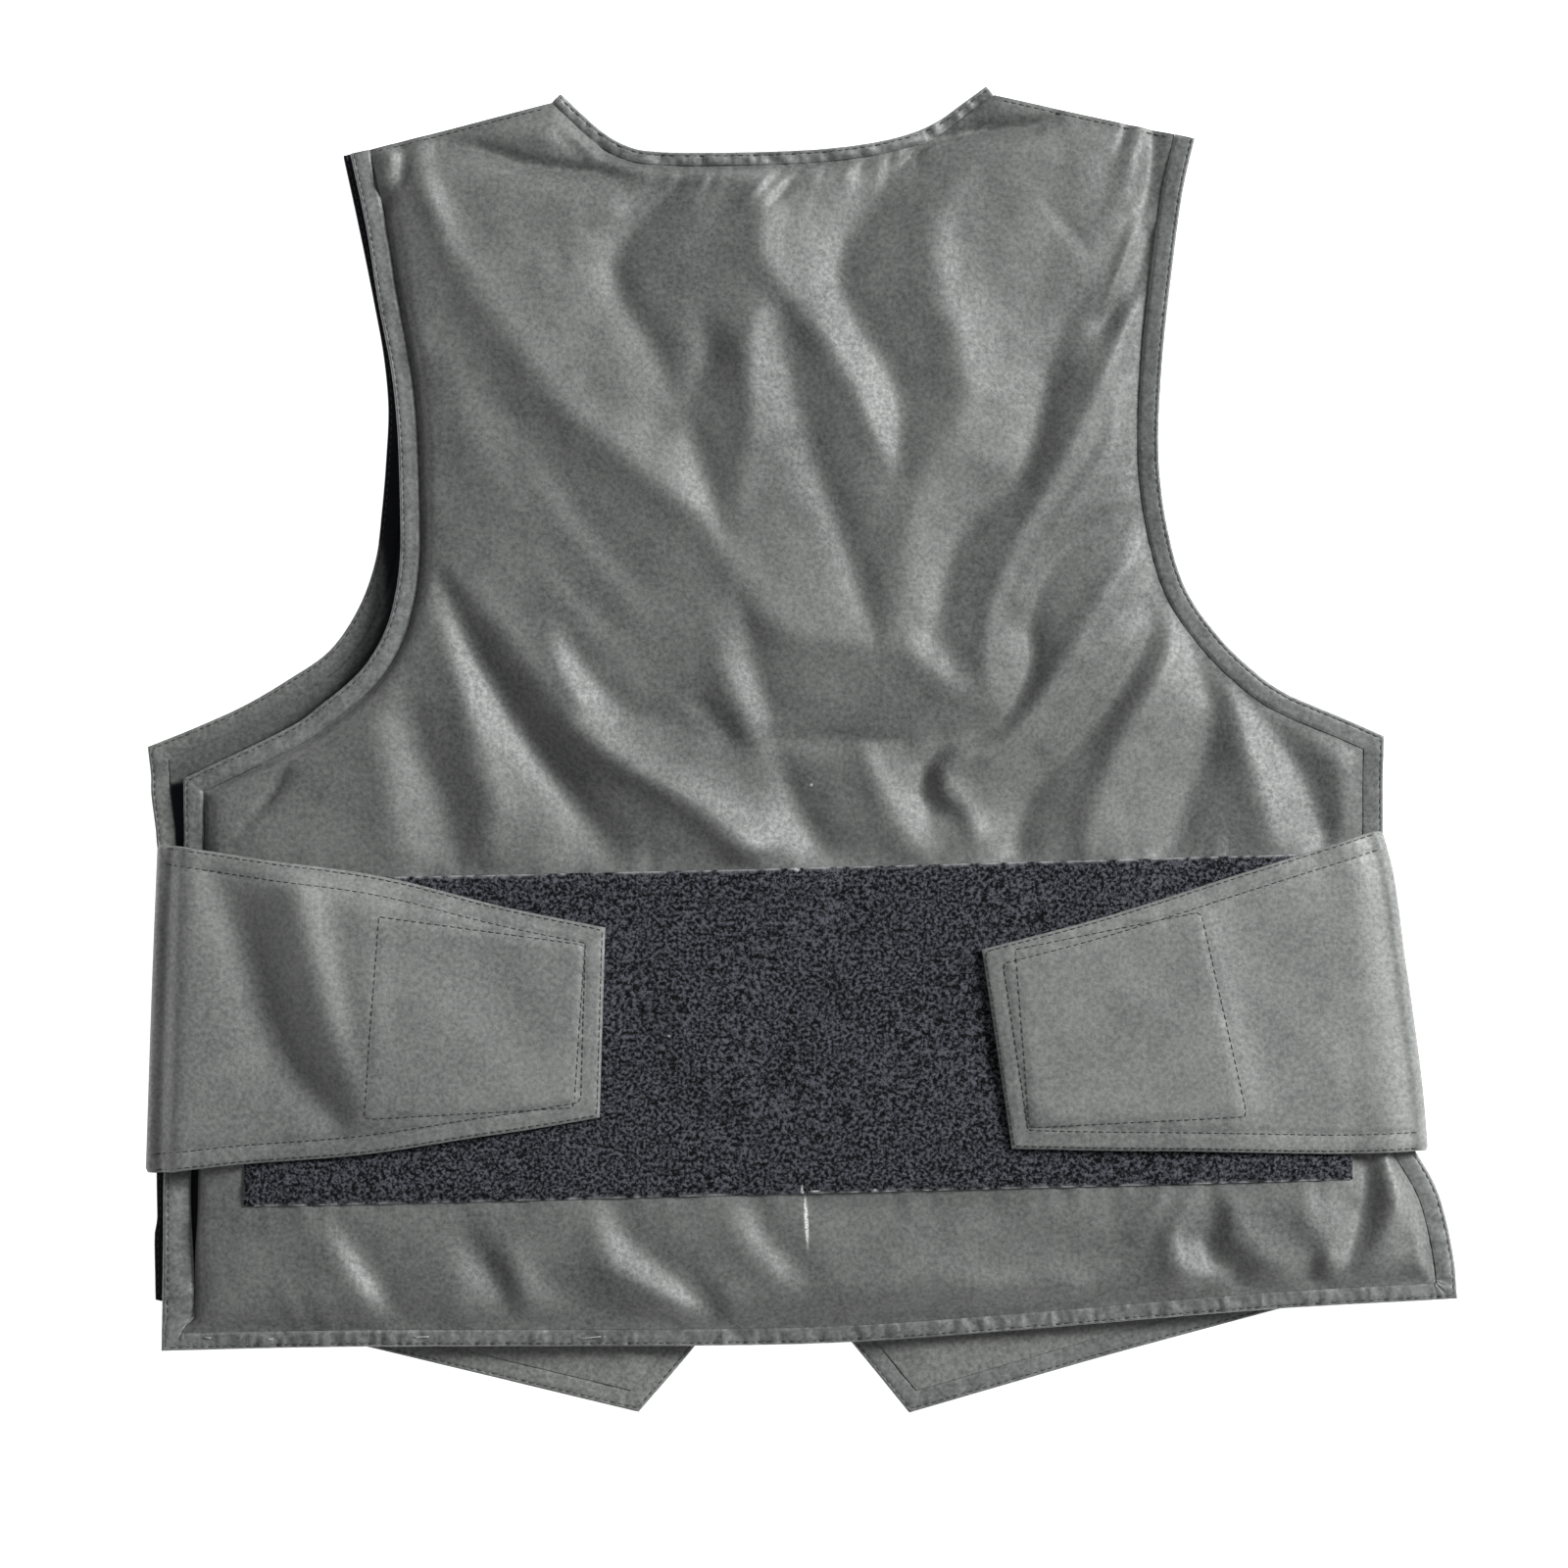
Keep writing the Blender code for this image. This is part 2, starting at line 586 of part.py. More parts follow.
def build_front(shape, side_name, materials, collection):
    """One front panel with its lining and edge strips. Returns the line its wing is sewn to."""
    outline = front_outline(shape, side_name)
    rim = outline.inset(GAP)
    underside = fill_patch(*outline.sides(rim))
    edge = distance_to_line(underside, [*rim, rim[0]])
    underside[..., 2] = FRONT_LIFT * np.clip(1.0 - edge / FRONT_LIFT_REACH, 0.0, 1.0)
    upper = underside.copy()
    upper[..., 2] = FRONT_EDGE_TOP + FRONT_PADDING * rise(edge, FRONT_PADDING_REACH)
    add_panel(f"front_panel_{side_name}", upper, underside, 1, materials["cloth"], collection)

    upper[..., 2] += GAP
    add_sheet(f"front_lining_{side_name}", upper, LINING_THICKNESS, 1, materials["lining"], collection)

    below_wing, along_wing, above_wing = FRONT_SIDE_STEPS
    wing_end = below_wing + along_wing
    outer = outline.sides(outline.points)
    inner = outline.sides(outline.inset(0.0))
    strips = {"armhole": [], "hem": [], "neck": []}
    for bottom, right, top, left in (outer, inner):
        side, middle = (left, right) if side_name == "left" else (right, left)
        hem = bottom if side_name == "left" else bottom[::-1]
        strips["armhole"].append(side[wing_end:])
        strips["hem"].append(np.vstack([side[below_wing:0:-1], hem]))
        strips["neck"].append(middle[FRONT_CENTRE_STEPS:])
    for place, (edges, seats) in strips.items():
        add_strip(f"front_{place}_binding_{side_name}", edges, seats, materials["binding"], collection)
    seam = outline.sides(outline.inset(-GAP))
    side = seam[3] if side_name == "left" else seam[1]
    return side[below_wing:wing_end + 1]


def build_zip(materials, collection):
    """The plain closure strip between the two front panels."""
    bm = bmesh.new()
    bmesh.ops.create_cube(bm, size=1.0)
    length = ZIP_Y_TO - ZIP_Y_FROM
    bmesh.ops.scale(bm, vec=(ZIP_WIDTH, length, ZIP_THICKNESS), verts=bm.verts)
    middle = (ZIP_X, (ZIP_Y_FROM + ZIP_Y_TO) / 2, ZIP_BOTTOM + ZIP_THICKNESS / 2)
    bmesh.ops.translate(bm, vec=middle, verts=bm.verts)
    long_edges = [edge for edge in bm.edges if abs(edge.verts[0].co.y - edge.verts[1].co.y) > length / 2]
    bmesh.ops.bevel(bm, geom=long_edges, offset=0.6, segments=1, affect="EDGES")
    add_object("front_zip", bm, materials["binding"], collection)


def build_loop_panel(panel, materials, collection):
    """The fleecy loop panel, sewn flat across the lower back."""
    across, up = LOOP_STEPS
    bottom = smooth_curve(LOOP_BOTTOM, across)
    top = smooth_curve(LOOP_TOP, across)
    left = smooth_curve([bottom[0], top[0]], up)
    right = smooth_curve([bottom[-1], top[-1]], up)
    surface = Cover([panel]).drape(fill_patch(bottom, right, top, left), CLOTH_CLEARANCE, PATCH_REACH)
    return add_sheet("loop_panel", surface, LOOP_THICKNESS, 1, materials["loop"], collection)


def build_hook_patch(name, corners, cover, materials, collection):
    """The patch of hook tape under a wing's end."""
    across, up = HOOK_STEPS
    bottom = smooth_curve(corners["bottom"], across)
    top = smooth_curve(corners["top"], across)
    left = smooth_curve([bottom[0], top[0]], up)
    right = smooth_curve([bottom[-1], top[-1]], up)
    surface = cover.drape(fill_patch(bottom, right, top, left), CLOTH_CLEARANCE, PATCH_REACH)
    return add_sheet(name, surface, HOOK_THICKNESS, 1, materials["hook"], collection)


def build_wing(name, shape, seam, cover, materials, collection):
    """A wing: out from the front panel's side, round the fold, and over the back."""
    inward = shape["inward"]
    radius = (WING_OVER_Z - WING_ROOT_Z) / 2
    inset = inward * (radius + WING_THICKNESS / 2)
    fold = smooth_curve(shape["fold"], WING_ROWS)
    fold[:, 0] += inset
    end = smooth_curve(shape["end"], WING_ROWS)
    lower = smooth_curve([tuple(fold[0])] + shape["lower"][1:], WING_STEPS)
    upper = smooth_curve([tuple(fold[-1])] + shape["upper"][1:], WING_STEPS)
    plan = fill_patch(lower, end, upper, fold)
    over = cover.drape(plan, CLOTH_CLEARANCE + WING_THICKNESS / 2, WING_REACH)

    along = np.linspace(0.0, 1.0, WING_STEPS + 1)[None, :]
    lift = np.full(over.shape[:2], WING_PUFF)
    for crease in shape["creases"]:
        distance = distance_to_line(over, crease["line"])
        lift += crease["height"] * np.exp(-(distance / crease["width"]) ** 2)
    over[..., 2] += lift * np.sin(np.pi * np.clip(along * 1.6, 0.0, 1.0))
    over[:, 0, 2] = WING_OVER_Z

    rows = []
    for place, across in zip(fold, over):
        seam_x = np.interp(place[1], seam[:, 1], seam[:, 0])
        row = [(seam_x, place[1], WING_ROOT_Z)]
        for angle in np.linspace(-math.pi / 2, math.pi / 2, WING_TURN_STEPS + 1)[:-1]:
            row.append((place[0] - inward * radius * math.cos(angle), place[1],
                        WING_ROOT_Z + radius + radius * math.sin(angle)))
        rows.append(row + [tuple(point) for point in across])
    return add_sheet(name, np.array(rows), WING_THICKNESS, 0, materials["cloth"], collection)


def centre_on_origin(objects):
    """Move every mesh so that the origin is below the middle of the whole vest."""
    depsgraph = bpy.context.evaluated_depsgraph_get()
    corners = np.array([corner for obj in objects for corner in obj.evaluated_get(depsgraph).bound_box])
    low, high = corners.min(axis=0), corners.max(axis=0)
    shift = np.array([(low[0] + high[0]) / 2, (low[1] + high[1]) / 2, low[2]])
    for obj in objects:
        for vert in obj.data.vertices:
            vert.co = np.array(vert.co) - shift


def build_vest():
    for obj in list(bpy.data.objects):
        bpy.data.objects.remove(obj, do_unlink=True)
    collection = bpy.data.collections.new("stab_vest")
    bpy.context.scene.collection.children.link(collection)
    materials = {
        "cloth": make_material("grey_satin_cloth", (0.16, 0.165, 0.16), 0.48, 0.3),
        "binding": make_material("grey_edge_strip", (0.15, 0.155, 0.15), 0.5, 0.2),
        "lining": make_material("navy_lining", (0.005, 0.006, 0.014), 0.7),
        "loop": make_material("black_loop_pile", (0.02, 0.02, 0.023), 0.95, 0.3),
        "hook": make_material("black_hook_tape", (0.012, 0.012, 0.013), 0.6),
    }
    panel, binding = build_back(materials, collection)
    seam_left = build_front(FRONT_LEFT, "left", materials, collection)
    seam_right = build_front(FRONT_RIGHT, "right", materials, collection)
    build_zip(materials, collection)
    loop = build_loop_panel(panel, materials, collection)
    on_loop = Cover([loop])
    hook_left = build_hook_patch("hook_patch_left", HOOK_LEFT, on_loop, materials, collection)
    hook_right = build_hook_patch("hook_patch_right", HOOK_RIGHT, on_loop, materials, collection)
    cover = Cover([panel, binding, loop, hook_left, hook_right])
    build_wing("wing_left", WING_LEFT, seam_left, cover, materials, collection)
    build_wing("wing_right", WING_RIGHT, seam_right, cover, materials, collection)
    centre_on_origin(list(collection.objects))


build_vest()
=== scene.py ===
"""Stab vest of the waistcoat kind, lying flat on its front: the finish of every piece.

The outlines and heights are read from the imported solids, and each soft solid
is replaced by a finer piece of the same form, with its folds, gathers, stitches
and cloth. Lengths are in millimetres and become metres where a mesh is made.
"Left" and "right" are as seen from above, with the neck at the top.
"""

import math

import bmesh
import bpy
import numpy as np
from mathutils import Matrix, Vector
from mathutils.bvhtree import BVHTree


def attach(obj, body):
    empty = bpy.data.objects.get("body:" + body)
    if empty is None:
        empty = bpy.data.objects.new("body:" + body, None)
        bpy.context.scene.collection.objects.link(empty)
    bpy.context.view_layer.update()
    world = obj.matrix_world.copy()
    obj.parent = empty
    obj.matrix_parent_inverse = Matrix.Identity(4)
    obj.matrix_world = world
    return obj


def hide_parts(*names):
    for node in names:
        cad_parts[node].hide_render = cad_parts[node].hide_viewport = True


MM = 0.001

# Which way the corners of a piece lie from its middle: bottom left, bottom right, top right, top left.
RECTANGLE = ((-1, -1), (1, -1), (1, 1), (-1, 1))
BACK_CORNERS = ((-1, -1), (1, -1), (0.5, 1), (-0.5, 1))
FRONT_CORNERS = {"left": ((-1, -1), (1, -0.5), (0.6, 1), (-0.5, 1)),
                 "right": ((-1, -0.5), (1, -1), (0.5, 1), (-0.6, 1))}

# Fine stretches for each stretch of a solid's rim, and the rim's stretches along a shoulder seam.
PANEL_PARTS = 6
LOOP_PARTS = 20
LINING_PARTS = 10
BACK_LINING_PARTS = 8
PATCH_PARTS = 8
WING_PARTS = 10
SHOULDER_STRETCHES = 10
# Every rim starts at its point nearest to this place. It is under the left wing, because the gathers
# along a rim don't match where it starts and ends.
RIM_START = (-290.0, -120.0)

# Edge strips and padding, as sewn.
SIDE_STRIP = 9.0
HEM_STRIP = 7.7
NECK_STRIP = 5.7
SEAM_GAP = 0.3
STRIP_HEIGHT = 3.1
STRIP_WALL = 0.9
STRIP_STEP = 1.6
FRONT_STRIP_Z = 0.8
EDGE_STITCH = 1.7
SHOULDER_STITCH = 1.8
SHARP_TURN = math.radians(25)
RIM_HEIGHT = 2.8
RIM_DIP = 1.1
PADDING = 4.6
DOME = 6.5
DOME_REACH = 60.0
FOLD_EDGE_REACH = 7.0
FOLD_INNER_REACH = 22.0
WIDER_STRIP = 3.2
SLIT_WIDTH = 3.4
FOLD_SCALE = 1.5
# The puckers of a strip, finest second: height, how much they change across the strip, and length.
STRIP_WAVES = ((0.8, 0.35, 5.0), (1.0, 0.3, 2.4), (0.8, 0.2, 14.0))

# How far the creases reach, and how quickly each gives way to the next.
CREASE_REACH = 50.0
CREASE_POWER = 1.7
CREASES_END_Y = -50.0
CREASES_START_Y = -203.0
CREASES_FADE = 8.0
CREASES_UNDER_LOOP = 0.12

# Creases of the back panel: name, roundness, and points of x, y and height. The
# cloth runs evenly from each ridge, above zero, to the valley beside it.
BACK_CREASES = [
    ("shoulder_to_centre", 6, [(-187, 252, 1.0), (-157, 224, 3.0), (-148, 208, 3.8), (-125, 176, 4.8),
        (-102, 150, 5.2), (-64, 120, 5.2), (-42, 100, 4.6), (-32, 82, 3.6), (-24, 68, 3.4), (-8, 56, 3.8),
        (12, 51, 4.0), (33, 50, 4.2), (48, 46, 4.4), (60, 34, 4.4), (70, 27, 3.6), (88, 22, 1.5)]),
    ("shoulder_to_centre_foot", 6, [(-168, 205, 0.4), (-150, 172, -0.6), (-130, 146, -1.4),
        (-110, 122, -1.6), (-96, 100, -1.6), (-80, 82, -1.6), (-66, 66, -1.2)]),
    ("left_side_ridge", 6, [(-168, 180, 1.4), (-152, 142, 1.6), (-136, 118, 1.4)]),
    ("left_faint_ridge", 5, [(-122, 118, 0.6), (-108, 100, 1.4), (-92, 82, 1.8), (-78, 66, 1.4)]),
    ("left_second_ridge", 4, [(-124, 88, 0.8), (-112, 70, 1.6), (-98, 55, 1.4)]),
    ("left_second_valley", 4, [(-114, 90, -0.2), (-102, 72, -0.4), (-88, 58, -0.8)]),
    ("left_arm_ridge", 4, [(-162, 84, 1.2), (-138, 58, 3.0), (-117, 32, 4.4), (-103, 12, 5.4),
        (-84, -4, 6.2), (-62, -17, 6.8), (-42, -30, 7.2), (-24, -46, 7.2)]),
    ("left_arm_valley", 3.5, [(-165, 78, -2.4), (-152, 50, -4.2), (-138, 25, -5.2), (-124, 5, -5.6),
        (-108, -18, -5.6), (-89, -46, -4.6)]),
    ("left_bright_ridge", 3, [(-118, 52, 2.0), (-112, 38, 4.0), (-104, 22, 5.0)]),
    ("left_low_valley", 4, [(-108, 58, -0.5), (-98, 38, -2.0), (-80, 20, -3.0), (-58, 13, -3.0),
        (-42, 9, -2.4)]),
    ("left_small_ridge", 4, [(-168, 60, 0.8), (-157, 30, 3.0), (-150, 5, 3.8), (-142, -24, 3.6),
        (-144, -48, 3.0)]),
    ("left_small_valley", 4, [(-183, 34, -0.8), (-176, 4, -2.6), (-167, -18, -3.2), (-160, -48, -2.6)]),
    ("left_tip_ridge", 5, [(-200, 26, 0.5), (-194, 2, 2.0), (-190, -20, 2.6), (-186, -46, 2.4)]),
    ("tip_corner_valley", 3, [(-263, -26, -1.2), (-244, -8, -1.8)]),
    ("tip_corner_ridge", 4, [(-250, -34, 0.6), (-228, -12, 1.0)]),
    ("tip_curl", 2.5, [(-240, 2, -1.6), (-243, -14, -2.2), (-256, -32, -1.2)]),
    ("neck_left_valley", 4, [(-57, 265, -4.0), (-66, 252, -5.0), (-80, 236, -5.6), (-86, 222, -5.6),
        (-82, 206, -5.4), (-72, 190, -5.0), (-64, 176, -4.6), (-58, 160, -4.4), (-50, 142, -4.0),
        (-43, 122, -2.8), (-36, 102, -0.6)]),
    ("neck_left_streak", 3, [(-68, 216, -1.8), (-59, 229, -0.6), (-46, 244, 0.2)]),
    ("neck_left_ridge", 4, [(-21, 204, 2.1), (-25, 186, 3.5), (-25, 165, 3.7), (-24, 145, 2.9),
        (-28, 124, 1.9), (-34, 104, 0.6)]),
    ("centre_valley", 4, [(-11, 202, -0.4), (-7, 185, -1.6), (-2, 160, -2.7), (6, 132, -3.4),
        (15, 108, -3.8), (23, 84, -3.6), (29, 64, -2.2), (33, 53, -0.5)]),
    ("neck_mid_ridge", 4, [(-24, 262, 1.3), (-19, 246, 2.8), (-20, 230, 3.4), (-13, 213, 3.4),
        (-3, 202, 3.3), (9, 188, 3.4), (19, 170, 3.4), (29, 150, 3.0), (38, 130, 2.1)]),
    ("neck_mid_valley", 5, [(54, 276, -3.5), (40, 262, -4.4), (28, 245, -4.9), (19, 230, -5.1),
        (17, 214, -4.9), (24, 198, -4.6), (37, 178, -4.0), (45, 160, -3.5), (44, 142, -2.8),
        (42, 128, -1.8)]),
    ("main_ridge", 8, [(78, 272, 2.0), (66, 257, 3.8), (59, 245, 4.6), (58, 228, 5.2), (61, 208, 5.7),
        (68, 190, 5.9), (73, 168, 6.1), (70, 150, 5.9), (58, 132, 5.4), (50, 112, 4.9), (45, 85, 4.6),
        (40, 58, 3.6)]),
    ("main_bench", 6, [(102, 252, 1.0), (110, 228, -0.8), (106, 206, -2.0)]),
    ("main_valley", 5, [(148, 240, -0.9), (131, 212, -2.7), (117, 190, -4.5), (110, 165, -5.6),
        (106, 145, -5.8), (98, 124, -5.6), (82, 111, -4.7), (70, 97, -3.8), (64, 72, -2.7), (61, 54, -1.4),
        (70, 38, -0.7)]),
    ("upper_streak", 2.5, [(158, 242, 0.8), (144, 218, -0.4), (136, 194, -2.4)]),
    ("twin_ridge_a", 3, [(166, 222, 1.0), (157, 208, 2.4), (148, 194, 3.4), (139, 175, 4.4),
        (129, 152, 4.8), (118, 129, 4.8), (105, 108, 4.8), (93, 86, 4.6), (85, 62, 4.2), (82, 42, 3.0),
        (84, 30, 2.0)]),
    ("twin_groove", 2.5, [(148, 160, 3.0), (138, 147, 2.4), (120, 119, 2.4), (103, 91, 2.2),
        (93, 68, 2.4)]),
    ("twin_ridge_b", 2.5, [(152, 156, 2.4), (144, 146, 3.4), (126, 118, 3.8), (109, 91, 3.6),
        (99, 68, 3.2)]),
    ("twin_valley", 4, [(156, 112, -0.5), (138, 104, -2.0), (120, 93, -3.8), (108, 78, -4.8),
        (103, 60, -5.4), (104, 44, -5.8), (101, 30, -5.8), (92, 16, -5.2), (80, 9, -4.4)]),
    ("right_ridge_upper", 3, [(160, 98, 2.0), (142, 78, 3.8), (130, 58, 4.8), (119, 40, 5.4),
        (106, 20, 5.0), (95, 7, 4.2), (84, -2, 3.0)]),
    ("right_valley_upper", 3, [(166, 76, -0.5), (148, 56, 0.4), (128, 33, 0.8), (110, 10, 0.8)]),
    ("right_mid_ridge", 3, [(162, 64, 1.0), (144, 46, 2.0), (125, 24, 2.2), (111, 4, 1.6)]),
    ("right_valley", 3.5, [(160, 62, -2.4), (152, 42, -4.2), (140, 22, -5.0), (124, 4, -5.0),
        (108, -12, -5.0), (99, -32, -5.2), (98, -50, -5.0)]),
    ("right_ridge_lower", 4, [(170, 62, 2.4), (165, 42, 4.6), (156, 24, 5.6), (146, 8, 5.6), (139, -8, 5.2),
        (132, -26, 4.8), (128, -48, 4.0)]),
    ("right_tip_valley", 4, [(184, 40, -1.2), (186, 18, -3.4), (183, -2, -4.6), (175, -24, -4.6),
        (168, -48, -4.2)]),
    ("right_tip_ridge", 4, [(194, 40, 1.0), (199, 14, 2.8), (204, -8, 3.4), (210, -28, 3.0),
        (217, -48, 2.2)]),
    ("far_tip_valley", 3, [(212, 18, -1.0), (222, 0, -2.8), (231, -16, -3.8), (238, -38, -4.0)]),
    ("far_tip_ridge", 4, [(228, 20, 0.4), (241, 4, 1.6), (249, -12, 2.0), (251, -32, 1.6)]),
    ("package_crease", 2.5, [(-12, 5, -3.6), (20, 5, -4.2), (46, 4, -3.4)]),
    ("centre_low_ridge", 4, [(-41, 56, 1.2), (-37, 38, 2.4), (-30, 20, 2.4), (-23, 7, 1.6)]),
    ("centre_upper_valley", 3, [(-28, 66, -0.6), (-22, 42, -2.8), (-15, 20, -3.6)]),
    ("centre_low_valley", 4, [(-12, 2, -4.4), (-5, -18, -5.6), (2, -34, -6.0), (12, -50, -6.0)]),
    ("centre_tuck", 2, [(-47, 20, -2.8), (-34, 6, -2.8)]),
    ("below_knot_ridge", 4, [(27, 2, 0.8), (31, -10, 2.4), (38, -26, 3.2), (52, -46, 3.4)]),
    ("knot_valley", 2.5, [(80, 9, -3.4), (64, 4, -4.6), (56, -6, -5.0), (55, -18, -4.4), (60, -28, -3.2),
        (69, -30, -1.8)]),
    ("knot_curl", 2, [(84, 0, 1.8), (72, -2, 2.2), (64, -9, 2.2), (66, -18, 2.0), (73, -26, 2.4),
        (78, -38, 3.0)]),
    ("shoulder_yoke_left", 3, [(-172, 279, 1.0), (-147, 284, 1.4), (-116, 284, 1.4)]),
    ("shoulder_valley_left", 2.5, [(-172, 272, -0.8), (-150, 275, -2.4), (-130, 271, -3.2),
        (-112, 267, -3.6), (-84, 265, -3.4)]),
    ("shoulder_fall_left", 4, [(-160, 262, 0.6), (-120, 254, 0.6), (-90, 250, 0.0)]),
    ("shoulder_yoke_right", 3, [(72, 294, 1.2), (98, 295, 1.6), (120, 291, 1.2)]),
    ("shoulder_valley_right", 2.5, [(40, 263, -4.0), (52, 276, -4.6), (64, 283, -4.4), (86, 286, -3.6),
        (114, 290, -2.6)]),
    ("shoulder_fall_right", 4, [(100, 275, 1.4), (130, 268, 1.8)]),
    ("small_crease", 2, [(-46, 194, -1.8), (-44, 180, -3.6), (-52, 162, -4.0), (-62, 153, -3.4)]),
    ("hem_ridge_1", 3, [(-228, -209, 0.9), (-217, -224, 1.7), (-207, -240, 2.2), (-197, -256, 2.4)]),
    ("hem_valley_1", 2, [(-212, -214, -0.6), (-204, -226, -1.8), (-195, -240, -2.4), (-187, -257, -2.2)]),
    ("hem_ridge_2", 4, [(-168, -228, 0.8), (-160, -240, 1.8), (-156, -252, 1.6)]),
    ("hem_valley_2", 2.5, [(-153, -221, -0.8), (-146, -232, -2.2), (-139, -244, -2.8), (-136, -255, -2.0)]),
    ("hem_ridge_3", 2.5, [(-142, -222, 1.0), (-133, -231, 2.4), (-128, -242, 2.4), (-125, -252, 1.4)]),
    ("hem_foot_4", 4, [(-122, -238, -0.4), (-104, -252, -2.4), (-80, -259, -2.8), (-62, -263, -2.0)]),
    ("hem_ridge_4", 3, [(-97, -207, 1.6), (-94, -222, 2.4), (-87, -236, 3.4), (-66, -247, 3.6),
        (-50, -259, 2.8)]),
    ("hem_valley_4", 3, [(-85, -207, -1.4), (-79, -221, -1.8), (-62, -236, -2.2), (-49, -247, -2.6),
        (-41, -257, -1.8)]),
    ("hem_ridge_5", 2.5, [(-40, -240, 0.8), (-34, -248, 1.6), (-29, -257, 1.4)]),
    ("hem_ridge_6", 3, [(-35, -206, 1.6), (-30, -220, 2.1), (-21, -232, 2.1), (-10, -242, 1.6)]),
    ("hem_valley_6", 3, [(-22, -206, -1.6), (-17, -218, -2.0), (-6, -231, -1.6), (4, -240, -0.8)]),
    ("hem_ridge_7", 5, [(2, -240, 2.2), (26, -246, 3.2), (58, -240, 3.4), (92, -246, 3.2),
        (124, -242, 2.4)]),
    ("hem_valley_7", 6, [(6, -205, -2.0), (50, -204, -2.4), (92, -203, -2.0), (140, -202, -1.2)]),
    ("hem_small_ridge_7", 3, [(128, -204, 1.2), (118, -212, 1.2), (106, -218, 0.8)]),
    ("hem_ridge_8", 2, [(163, -205, 2.6), (158, -212, 2.8), (152, -219, 2.0)]),
    ("hem_valley_8", 3, [(169, -209, -0.8), (159, -220, -1.8), (146, -229, -2.0), (130, -239, -1.4)]),
    ("hem_ridge_9", 2.5, [(174, -205, 2.4), (167, -221, 4.0), (170, -234, 4.2), (178, -245, 3.2)]),
    ("hem_valley_9", 2.5, [(189, -210, -2.8), (183, -222, -4.0), (187, -232, -4.0), (197, -237, -3.4),
        (199, -247, -2.4)]),
    ("hem_ridge_10", 2.5, [(195, -207, 2.2), (198, -219, 2.8), (205, -227, 3.0), (216, -234, 2.4),
        (222, -246, 1.6)]),
    ("hem_ridge_11", 3, [(228, -200, 2.8), (230, -213, 3.2), (234, -222, 3.0)]),
    ("hem_valley_11", 2, [(234, -227, -1.6), (232, -238, -3.0), (231, -248, -2.2)]),
    ("hem_ridge_11_low", 2, [(237, -226, 2.0), (241, -235, 3.0), (245, -241, 3.0), (253, -246, 2.0)]),
    ("hem_valley_12", 3, [(256, -184, -4.4), (256, -200, -5.2), (255, -214, -5.0), (251, -228, -3.6),
        (248, -237, -1.6)]),
    ("hem_ridge_12", 3, [(273, -186, 4.0), (272, -200, 5.0), (269, -214, 5.0), (263, -226, 3.8),
        (255, -236, 2.4)]),
    ("hem_valley_13", 3, [(277, -226, -1.0), (276, -240, -1.6)]),
    ("hem_ridge_13", 3, [(284, -226, 0.8), (285, -240, 1.0)]),
]
